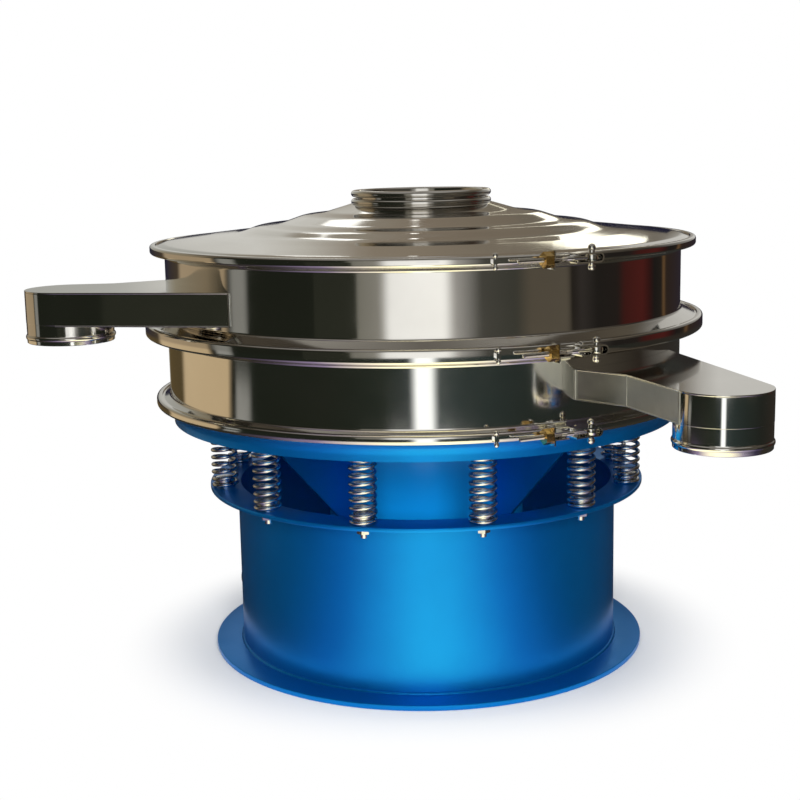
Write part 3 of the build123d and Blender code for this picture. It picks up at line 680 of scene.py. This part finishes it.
# chutes: troughs and covers from the solids with broken edges, spun spouts, ground welds
chuteSettings = {
    "fines": {"spout": (463.791, -626.188, 555), "angle": 48.6, "lower": 0, "further": 0, "ground": True},
    "oversize": {
        "spout": (-639.892, -245.987, 689), "angle": -59.4, "lower": 6.9, "further": 3.1, "ground": False,
    },
    "edge": 1.2, "coverEdge": 0.96, "height": 52, "halfWidth": 153, "neck": 580, "bend": 8, "root": 446,
    "roundEnd": 78, "wall": 500, "wallMargin": 4, "floorMargin": 4.5, "turnedShare": 0.75,
    "inner": 73, "outer": 77.7, "drop": 43, "steps": 96,
    "bead": (2.3, 4.0), "beadHeight": 11, "beadSteps": 8, "beadSweep": 160,
    "weldEdge": 1.5, "weldSeam": 2.2, "weldEnd": 3.4, "weldCuts": 14, "ripple": 0.4, "rippleSize": 8,
}


def fitTrough(piece, settings, chute):
    # lowers the floor and carries the front plate further round the frame
    back = Matrix.Rotation(-math.radians(chute["angle"]), 3, "Z")
    floorTop = (chute["spout"][2] + settings["floorMargin"]) * mm
    near = (settings["wall"] + settings["wallMargin"]) * mm
    reach = settings["halfWidth"] * mm * settings["turnedShare"]
    for vertex in piece.data.vertices:
        if vertex.co.z < floorTop:
            vertex.co.z -= chute["lower"] * mm
        if math.hypot(vertex.co.x, vertex.co.y) < near:
            share = min(max((back @ vertex.co).x / reach, 0), 1)
            vertex.co = Matrix.Rotation(math.radians(chute["further"]) * share, 3, "Z") @ vertex.co


def grindPlates(trough, settings, chute):
    # the flat plates are ground after welding, the round end stays polished
    trough.data.materials.append(materials["ground_steel"])
    x, y = chute["spout"][0] * mm, chute["spout"][1] * mm
    for face in trough.data.polygons:
        away = math.hypot(face.center.x - x, face.center.y - y)
        face.material_index = int(away > (settings["roundEnd"] + 1) * mm)


def touchingLine(first, second, firstRadius, secondRadius, side):
    # direction square to the line that touches two circles on one side
    line = second - first
    swing = math.acos((firstRadius - secondRadius) / line.length)
    aim = math.atan2(line.y, line.x) + side * swing
    return Vector((math.cos(aim), math.sin(aim)))


def plateCorners(settings, chute):
    # ends and bend of the two side plates, seen from above
    turn = Matrix.Rotation(math.radians(chute["angle"]), 2)
    spout = turn.inverted() @ Vector(chute["spout"][:2])
    half, bend, wall, end = (settings[key] for key in ("halfWidth", "bend", "wall", "roundEnd"))
    corner = Vector((bend - half, -settings["neck"]))
    square = touchingLine(corner, spout, bend, end, -1)
    middle = (square + Vector((-1, 0))).normalized()
    start = Vector((-half, -math.sqrt(wall**2 - half**2)))
    neckSide = [start, corner + middle * bend, spout + square * end]
    corner = Vector((half - bend, -settings["root"]))
    square = touchingLine(corner, spout, bend, end, 1)
    inner, outer = corner + square * bend, spout + square * end
    along = (outer - inner).normalized()
    lean = inner.dot(along)
    meet = inner + along * (math.sqrt(lean**2 + wall**2 - inner.length_squared) - lean)
    meet = Matrix.Rotation(math.radians(chute["further"]), 2) @ meet
    return [turn @ point for point in neckSide], [turn @ meet, turn @ outer]


def layBead(points, radius, settings, ripples):
    # a run of points becomes a round bead with slight ripples
    bead = drawLine(points)
    bpy.ops.mesh.subdivide(number_cuts=settings["weldCuts"])
    endEdit()
    bpy.ops.object.convert(target="CURVE")
    bead.data.bevel_depth = radius * mm
    bead.data.bevel_resolution = 3
    bead.data.use_fill_caps = True
    bpy.ops.object.convert(target="MESH")
    applyModifier(bead, "DISPLACE", texture=ripples, texture_coords="LOCAL", strength=settings["ripple"] * mm)
    return bead


def weldChute(settings, name, chute):
    ripples = bpy.data.textures.new(f"{name}Ripples", "CLOUDS")
    ripples.noise_scale = settings["rippleSize"] * mm
    neckSide, farSide = plateCorners(settings, chute)
    low = chute["spout"][2] - chute["lower"]
    high = chute["spout"][2] + settings["height"]
    edge, seam, end = settings["weldEdge"], settings["weldSeam"], settings["weldEnd"]
    runs = [([(p.x, p.y, low) for p in side], edge) for side in (neckSide, farSide)]
    uprights = [(neckSide[0], end), (neckSide[1], seam), (neckSide[2], seam), (farSide[0], end)]
    runs += [([(p.x, p.y, low), (p.x, p.y, high - 1)], radius) for p, radius in uprights]
    beads = [layBead([Vector(p) * mm for p in points], radius, settings, ripples) for points, radius in runs]
    welds = joinPieces(beads)
    smoothByAngle(welds, 60)
    addOn(welds, f"{name}Welds", f"{name}_chute", "polished_steel")
    welds.data.materials[0] = materials["ground_steel"]


def makeChutes(settings):
    inner, outer, steps = settings["inner"], settings["outer"], settings["beadSteps"]
    bulge, lift = settings["bead"]
    for name in ("fines", "oversize"):
        chute = settings[name]
        x, y, z = chute["spout"]
        trough = dressNode(f"{name}_chute", settings["edge"], f"{name}Trough")
        cover = dressNode(f"{name}_chute_cover", settings["coverEdge"], f"{name}Cover")
        if chute["ground"]:
            grindPlates(trough, settings, chute)
        if chute["further"]:
            fitTrough(trough, settings, chute)
            fitTrough(cover, settings, chute)
        bottom = z - settings["drop"]
        middle = bottom + settings["beadHeight"]
        above = middle + lift
        path = [(inner, bottom), (outer - 1, bottom), (outer, bottom + 1)]
        for k in range(steps + 1):
            angle = math.radians(settings["beadSweep"] * (k / steps - 0.5))
            path.append((outer + bulge * math.cos(angle), middle + lift * math.sin(angle)))
        path += [(outer, above + 0.6), (outer, above + 2), (outer, z), (inner, z), (inner, bottom)]
        spout = spinPath(path, settings["steps"], centre=(x, y))
        smoothByAngle(spout, 40)
        settle(spout, f"{name}Spout", f"{name}_spout")
        weldChute(settings, name, chute)


makeChutes(chuteSettings)
print("chutes made")

# clamp bands and their closures
clampSettings = {
    # each band: height of the joint, radius of the rims, half height, rounding
    "bands": {
        "deck": (507.5, 525, 8.4, 7.2), "screen": (647.5, 540, 12.9, 10.5), "lid": (798, 525, 8.4, 7.2),
    },
    "angle": 26.5, "gap": 16, "wall": 2.2, "clear": 2.4, "cover": 8, "steps": 220, "insideRim": 4,
    "edges": {"lug": 0.5, "clevis": 0.5, "nut": 0.8}, "pivotOffset": 40, "standOff": 15,
    "boltRadius": 4, "boltLength": 140, "neck": 8, "plain": 58, "pitch": 1.25, "thread": 0.7, "sunk": 0.1,
    "eye": 11, "eyeBore": 5.05, "eyeHeight": 11, "eyeSteps": 40, "shankSteps": 24, "threadSteps": 16,
}


def makeClamps(settings):
    turn = math.radians(settings["angle"])
    along = Vector((math.cos(turn), math.sin(turn), 0))
    outward = Vector((math.sin(turn), -math.cos(turn), 0))
    for name, (joint, rim, half, rounding) in settings["bands"].items():
        radius, lip = rim + settings["clear"], rim - settings["cover"]
        low, high = joint - half, joint + half
        spread = math.degrees(settings["gap"] / radius)
        section = [(lip, low, 0), (radius, low, rounding), (radius, high, rounding), (lip, high, 0)]
        band = spinPath(
            roundedPath(section, 7), settings["steps"], fromAngle=settings["angle"] + spread / 2,
            sweep=360 - spread, inside=(rim - settings["insideRim"], joint),
        )
        applyModifier(band, "SOLIDIFY", thickness=settings["wall"] * mm, offset=-1, use_even_offset=True)
        smoothByAngle(band, 40)
        settle(band, f"{name}Band", f"{name}_clamp_band")
        for part, edge in settings["edges"].items():
            dressNode(f"{name}_clamp_{part}", edge, f"{name}{part.title()}")
        pivot = (outward * (radius + settings["standOff"]) + along * settings["pivotOffset"]) * mm
        pivot.z = joint * mm
        makeBolt(settings, f"{name}Bolt", f"{name}_clamp_swing_bolt", pivot, -along)


def makeBolt(settings, name, node, pivot, direction):
    # eye, plain shank and rolled thread, made upright and laid along the bolt's line
    half, eye, bore = settings["eyeHeight"] / 2, settings["eye"], settings["eyeBore"]
    section = [(bore, -half, 0), (eye, -half, 1), (eye, half, 1), (bore, half, 0)]
    ring = spinPath(roundedPath(section + section[:1], 3), settings["eyeSteps"])
    radius, plain, length, pitch = (settings[key] for key in ("boltRadius", "plain", "boltLength", "pitch"))
    core = radius - settings["thread"]
    path = [(0.01, settings["neck"]), (radius, settings["neck"]), (radius, plain), (core, plain + 1)]
    path += [(core, length - 1), (0.01, length - 0.2)]
    shank = spinPath(path, settings["shankSteps"])
    root = core - settings["sunk"]
    profile = [(root, 0), (radius, 0.45), (radius, 0.55), (root, 1)]
    thread = drawLine([Vector((r, 0, plain + share * pitch)) * mm for r, share in profile])
    endEdit()
    rounds = int((length - 2 - plain) / pitch) - 1
    applyModifier(
        thread, "SCREW", axis="Z", angle=math.tau, screw_offset=pitch * mm, iterations=rounds,
        steps=settings["threadSteps"], render_steps=settings["threadSteps"],
    )
    startEdit(thread)
    bpy.ops.mesh.remove_doubles(threshold=1e-6)
    bpy.ops.mesh.normals_make_consistent(inside=False)
    endEdit()
    x, y = direction.x, direction.y
    laid = Matrix(((0, -y, x, pivot.x), (0, x, y, pivot.y), (1, 0, 0, pivot.z), (0, 0, 0, 1)))
    shank.data.transform(laid)
    thread.data.transform(laid)
    ring.data.transform(Matrix.Translation(pivot))
    bolt = joinPieces([shank, thread, ring])
    smoothByAngle(bolt, 35)
    settle(bolt, name, node)


makeClamps(clampSettings)
print("clamps closed")

# stage: white floor, soft lamps, and studio walls and cards that only reflections see
stageSettings = {
    "floor": (0.93, 0.93, 0.93), "floorSize": 40, "shadowReach": (0.435, 0.64), "roomRadius": 3.1,
    "roomHeight": 4.0, "roomSides": 96, "groundHole": 0.47, "groundEdge": 2.35, "groundHeight": 3,
    "midRise": (0.2, 0.3), "highRise": (0.84, 0.92), "topRise": (2.2, 2.7), "floorHeight": -0.0005,
    "floorRoughness": 0.9, "worldLight": 0.38, "worldColour": (0.94, 0.97, 1.0),
}
# glow of the studio: degrees from the front towards the right, and the colour there
groundRing = [
    (-180, (0.05, 0.05, 0.045)), (-110, (0.03, 0.032, 0.03)), (-75, (0.035, 0.03, 0.022)),
    (-58, (0.09, 0.07, 0.11)), (-38, (0.33, 0.26, 0.42)), (-20, (1.2, 1.1, 0.9)),
    (-4, (1.95, 1.82, 1.15)), (8, (1.95, 1.82, 1.15)), (18.5, (1.42, 1.33, 1.0)),
    (36, (0.48, 0.42, 0.56)), (56, (0.07, 0.055, 0.12)), (72, (0.04, 0.035, 0.025)),
    (130, (0.03, 0.032, 0.03)), (180, (0.05, 0.05, 0.045)),
]
lowRing = [
    (-180, (0.03, 0.03, 0.03)), (-165, (0.5, 0.46, 0.36)), (-150, (0.1, 0.07, 0.03)),
    (-126, (0.09, 0.065, 0.03)), (-122, (0.6, 0.46, 0.28)), (-87, (0.58, 0.44, 0.26)),
    (-85, (0.02, 0.02, 0.015)), (-82.5, (0.02, 0.02, 0.015)), (-81.5, (0.33, 0.33, 0.31)),
    (-75, (0.3, 0.3, 0.28)), (-73.5, (0.014, 0.017, 0.012)), (-40, (0.017, 0.02, 0.014)),
    (-16, (0.02, 0.026, 0.02)), (-5, (0.03, 0.04, 0.04)), (-2.6, (1.5, 1.55, 1.55)),
    (2.6, (1.4, 1.45, 1.45)), (5, (0.05, 0.065, 0.065)), (16, (0.03, 0.042, 0.04)),
    (40, (0.022, 0.03, 0.026)), (70, (0.02, 0.022, 0.018)), (110, (0.03, 0.025, 0.02)),
    (180, (0.03, 0.03, 0.03)),
]
midRing = [
    (-180, (0.02, 0.02, 0.04)), (-150, (0.02, 0.02, 0.035)), (-126, (0.06, 0.045, 0.03)),
    (-122, (0.4, 0.31, 0.2)), (-87, (0.38, 0.29, 0.18)), (-85, (0.02, 0.02, 0.015)),
    (-81.5, (0.25, 0.25, 0.23)), (-75, (0.25, 0.25, 0.23)), (-73.5, (0.014, 0.016, 0.011)),
    (-28, (0.015, 0.017, 0.012)), (-26, (0.2, 0.195, 0.165)), (-16, (0.26, 0.25, 0.22)),
    (-12.5, (1.0, 1.0, 0.98)), (8, (1.15, 1.15, 1.12)), (12, (0.4, 0.39, 0.37)),
    (22, (0.07, 0.068, 0.058)), (36, (0.052, 0.052, 0.042)), (42, (0.1, 0.085, 0.063)),
    (58.5, (0.105, 0.09, 0.068)), (60.5, (0.018, 0.015, 0.012)), (65, (0.035, 0.03, 0.027)),
    (73, (0.016, 0.014, 0.012)), (85, (0.018, 0.014, 0.012)), (89, (0.05, 0.012, 0.01)),
    (101, (0.075, 0.014, 0.012)), (107, (0.035, 0.01, 0.009)), (111, (0.014, 0.012, 0.011)),
    (118.5, (0.02, 0.016, 0.013)), (120.5, (0.16, 0.09, 0.04)), (123, (0.03, 0.02, 0.015)),
    (180, (0.02, 0.02, 0.04)),
]
highRing = [
    (-180, (0.24, 0.2, 0.15)), (-175, (0.25, 0.21, 0.16)), (-170, (0.5, 0.48, 0.43)),
    (-166, (0.64, 0.63, 0.59)), (-161, (0.6, 0.59, 0.55)), (-157, (0.44, 0.44, 0.41)),
    (-150, (0.4, 0.4, 0.37)), (-130, (0.3, 0.27, 0.2)), (-99, (0.25, 0.2, 0.13)),
    (-84, (0.016, 0.018, 0.013)), (-28, (0.016, 0.018, 0.013)), (-26, (0.18, 0.175, 0.15)),
    (-16, (0.24, 0.23, 0.2)), (-12.5, (0.9, 0.9, 0.88)), (8, (0.95, 0.95, 0.92)),
    (12, (0.35, 0.34, 0.32)), (22, (0.06, 0.058, 0.05)), (68, (0.08, 0.07, 0.055)),
    (100, (0.03, 0.025, 0.02)), (140, (0.3, 0.29, 0.27)), (150, (0.56, 0.55, 0.52)),
    (158, (0.62, 0.61, 0.58)), (160.5, (0.16, 0.14, 0.11)), (174, (0.2, 0.17, 0.13)),
    (180, (0.24, 0.2, 0.15)),
]
topRing = [
    (-180, (0.23, 0.19, 0.145)), (-168, (0.3, 0.27, 0.22)), (-140, (0.3, 0.27, 0.22)),
    (-120, (0.1, 0.085, 0.065)), (-60, (0.06, 0.052, 0.042)), (-10, (0.1, 0.09, 0.075)),
    (20, (0.1, 0.09, 0.075)), (60, (0.07, 0.06, 0.05)), (140, (0.14, 0.12, 0.09)),
    (180, (0.23, 0.19, 0.145)),
]
ceilingRing = [
    (-180, (0.4, 0.39, 0.37)), (-125, (0.2, 0.19, 0.175)), (-60, (0.34, 0.33, 0.31)),
    (0, (0.2, 0.19, 0.175)), (60, (0.36, 0.35, 0.33)), (125, (0.22, 0.21, 0.195)),
    (180, (0.4, 0.39, 0.37)),
]
# cards in front of the walls: direction, distance, height of the middle, width, height, colour
cards = {
    "frontCard": (2.0, 3.0, 0.86, 0.42, 0.55, (1.0, 1.0, 1.0)),
    "leftWindow": (-167.2, 3.0, 2.7, 0.42, 0.62, (1.5, 1.5, 1.45)),
    "leftShade": (-168.8, 3.0, 0.9, 0.36, 0.26, (0.012, 0.012, 0.028)),
    "backSpot": (-178.8, 3.0, 3.3, 0.06, 0.3, (2.4, 2.4, 2.3)),
    "rightWindow": (164.8, 3.0, 1.5, 0.38, 0.44, (1.7, 1.65, 1.4)),
    "rightStrip": (170.0, 3.0, 1.66, 0.36, 0.06, (1.5, 1.42, 1.1)),
    "rightShade": (166.0, 3.0, 0.93, 0.6, 0.24, (0.012, 0.012, 0.028)),
    "stripShade": (-78.0, 3.0, 0.045, 0.5, 0.11, (0.016, 0.02, 0.014)),
    "troughFlag": (-31.0, 1.63, 0.6, 0.46, 0.4, (0.026, 0.028, 0.02)),
}


def makeGlow(name, layers):
    # emission by direction; each further layer takes over between its two heights
    glow = bpy.data.materials.new(name)
    glow.use_nodes = True
    glow.cycles.emission_sampling = "NONE"  # only mirrors meet it, so no light is aimed at it
    tree = glow.node_tree
    link = tree.links.new
    tree.nodes.remove(tree.nodes["Principled BSDF"])
    place = tree.nodes.new("ShaderNodeTexCoord")
    split = tree.nodes.new("ShaderNodeSeparateXYZ")
    front = tree.nodes.new("ShaderNodeMath")
    front.operation = "MULTIPLY"
    front.inputs[1].default_value = -1
    angle = tree.nodes.new("ShaderNodeMath")
    angle.operation = "ARCTAN2"
    share = tree.nodes.new("ShaderNodeMapRange")
    share.inputs["From Min"].default_value = -math.pi
    share.inputs["From Max"].default_value = math.pi
    link(place.outputs["Object"], split.inputs["Vector"])
    link(split.outputs["Y"], front.inputs[0])
    link(split.outputs["X"], angle.inputs[0])
    link(front.outputs["Value"], angle.inputs[1])
    link(angle.outputs["Value"], share.inputs["Value"])
    colour = None
    for ring, low, high in layers:
        ramp = tree.nodes.new("ShaderNodeValToRGB")
        stops = ramp.color_ramp.elements
        stops[0].position, stops[1].position = 0.0, 1.0
        stops[0].color, stops[1].color = (*ring[0][1], 1), (*ring[-1][1], 1)
        for degrees, shade in ring[1:-1]:
            stops.new((degrees + 180) / 360).color = (*shade, 1)
        link(share.outputs["Result"], ramp.inputs["Fac"])
        if colour is None:
            colour = ramp.outputs["Color"]
            continue
        rise = tree.nodes.new("ShaderNodeMapRange")
        rise.interpolation_type = "SMOOTHSTEP"
        rise.inputs["From Min"].default_value = low
        rise.inputs["From Max"].default_value = high
        blend = tree.nodes.new("ShaderNodeMix")
        blend.data_type = "RGBA"
        link(split.outputs["Z"], rise.inputs["Value"])
        link(rise.outputs["Result"], blend.inputs["Factor"])
        link(colour, blend.inputs[6])
        link(ramp.outputs["Color"], blend.inputs[7])
        colour = blend.outputs[2]
    shine = tree.nodes.new("ShaderNodeEmission")
    link(colour, shine.inputs["Color"])
    link(shine.outputs["Emission"], tree.nodes["Material Output"].inputs["Surface"])
    return glow


def onlyReflected(piece, name, layers):
    piece.name = name
    piece.data.materials.append(makeGlow(name, layers))
    piece.visible_camera = False
    piece.visible_diffuse = False
    piece.visible_shadow = False
    piece.visible_transmission = False


def seenRays(tree):
    # 1 for camera, mirror and glass rays
    rays = tree.nodes.new("ShaderNodeLightPath")
    seen = rays.outputs["Is Camera Ray"]
    for label in ("Is Glossy Ray", "Is Transmission Ray"):
        either = tree.nodes.new("ShaderNodeMath")
        either.operation = "MAXIMUM"
        tree.links.new(seen, either.inputs[0])
        tree.links.new(rays.outputs[label], either.inputs[1])
        seen = either.outputs["Value"]
    return seen


def makeFloor(settings):
    bpy.ops.object.select_all(action="DESELECT")
    bpy.ops.mesh.primitive_plane_add(size=settings["floorSize"], location=(0, 0, settings["floorHeight"]))
    floor = bpy.context.object
    floor.name = "studioFloor"
    paper = bpy.data.materials.new("studioFloor")
    paper.use_nodes = True
    tree = paper.node_tree
    link = tree.links.new
    shader = tree.nodes["Principled BSDF"]
    shader.inputs["Base Color"].default_value = (*settings["floor"], 1)
    shader.inputs["Roughness"].default_value = settings["floorRoughness"]
    # the paper fades to plain white for camera, mirror and glass rays away from the shadow
    place = tree.nodes.new("ShaderNodeTexCoord")
    distance = tree.nodes.new("ShaderNodeVectorMath")
    distance.operation = "LENGTH"
    fade = tree.nodes.new("ShaderNodeMapRange")
    fade.interpolation_type = "SMOOTHSTEP"
    fade.inputs["From Min"].default_value, fade.inputs["From Max"].default_value = settings["shadowReach"]
    seen = tree.nodes.new("ShaderNodeMath")
    seen.operation = "MULTIPLY"
    white = tree.nodes.new("ShaderNodeEmission")
    choose = tree.nodes.new("ShaderNodeMixShader")
    link(place.outputs["Object"], distance.inputs[0])
    link(distance.outputs["Value"], fade.inputs["Value"])
    link(seenRays(tree), seen.inputs[0])
    link(fade.outputs["Result"], seen.inputs[1])
    link(seen.outputs["Value"], choose.inputs["Fac"])
    link(shader.outputs["BSDF"], choose.inputs[1])
    link(white.outputs["Emission"], choose.inputs[2])
    link(choose.outputs["Shader"], tree.nodes["Material Output"].inputs["Surface"])
    floor.data.materials.append(paper)


def makeRoom(settings):
    radius, top, sides = settings["roomRadius"], settings["roomHeight"], settings["roomSides"]
    bpy.ops.object.select_all(action="DESELECT")
    bpy.ops.mesh.primitive_cylinder_add(
        vertices=sides, radius=radius, depth=top, location=(0, 0, top / 2), end_fill_type="NOTHING"
    )
    walls = bpy.context.object
    bpy.ops.object.transform_apply(location=True)
    layers = [(lowRing, 0, 0), (midRing, *settings["midRise"])]
    layers += [(highRing, *settings["highRise"]), (topRing, *settings["topRise"])]
    onlyReflected(walls, "studioWalls", layers)
    bpy.ops.object.select_all(action="DESELECT")
    bpy.ops.mesh.primitive_circle_add(vertices=sides, radius=radius, fill_type="NGON", location=(0, 0, top))
    ceiling = bpy.context.object
    bpy.ops.object.transform_apply(location=True)
    onlyReflected(ceiling, "studioCeiling", [(ceilingRing, 0, 0)])
    # bright ground near the machine, and the wall's colours again further out
    hole, rim, end = (settings[key] / mm for key in ("groundHole", "groundEdge", "roomRadius"))
    height = settings["groundHeight"]
    grounds = (("studioGround", groundRing, hole, rim), ("studioApron", lowRing, rim, end))
    for name, ring, first, last in grounds:
        onlyReflected(spinPath([(first, height), (last, height)], sides), name, [(ring, 0, 0)])
    for name, (direction, away, height, width, tall, shade) in cards.items():
        turn = math.radians(direction)
        place = (away * math.sin(turn), -away * math.cos(turn), height)
        bpy.ops.object.select_all(action="DESELECT")
        bpy.ops.mesh.primitive_plane_add(size=1, location=place, rotation=(math.pi / 2, 0, turn))
        card = bpy.context.object
        card.scale = (width, tall, 1)
        bpy.ops.object.transform_apply(location=True, rotation=True, scale=True)
        onlyReflected(card, name, [([(-180, shade), (180, shade)], 0, 0)])


def makeWorld(settings):
    world = bpy.data.worlds.new("studioWorld")
    bpy.context.scene.world = world
    world.use_nodes = True
    tree = world.node_tree
    link = tree.links.new
    back = tree.nodes["Background"]
    back.inputs["Color"].default_value = (*settings["worldColour"], 1)
    back.inputs["Strength"].default_value = settings["worldLight"]
    white = tree.nodes.new("ShaderNodeBackground")
    white.inputs["Color"].default_value = (1, 1, 1, 1)
    choose = tree.nodes.new("ShaderNodeMixShader")
    link(seenRays(tree), choose.inputs["Fac"])
    link(back.outputs["Background"], choose.inputs[1])
    link(white.outputs["Background"], choose.inputs[2])
    link(choose.outputs["Shader"], tree.nodes["World Output"].inputs["Surface"])
    bpy.context.scene.view_settings.view_transform = "Standard"


lamps = {
    "frontSoftbox": {"place": (0.25, -3.0, 1.3), "aim": (0, 0, 0.3), "size": 1.1, "power": 85},
    "topSoftbox": {"place": (-0.2, -0.4, 3.4), "aim": (0, 0, 0.6), "size": 2.4, "power": 52},
    "leftFill": {"place": (-2.8, -1.2, 1.4), "aim": (0, 0, 0.3), "size": 1.6, "power": 9},
    "rightFill": {"place": (2.8, -1.2, 1.4), "aim": (0, 0, 0.3), "size": 1.6, "power": 9},
    "backFill": {"place": (0, 3.0, 1.8), "aim": (0, 0, 0.4), "size": 2.0, "power": 40},
}


def hangLamps(lamps):
    for name, settings in lamps.items():
        bpy.ops.object.select_all(action="DESELECT")
        bpy.ops.object.light_add(type="AREA", location=settings["place"])
        lamp = bpy.context.object
        lamp.name = name
        lamp.data.size = settings["size"]
        lamp.data.energy = settings["power"]
        lamp.visible_glossy = False
        lamp.rotation_mode = "QUATERNION"
        aim = Vector(settings["aim"]) - Vector(settings["place"])
        lamp.rotation_quaternion = aim.to_track_quat("-Z", "Y")


makeFloor(stageSettings)
makeRoom(stageSettings)
makeWorld(stageSettings)
hangLamps(lamps)
print("stage set")
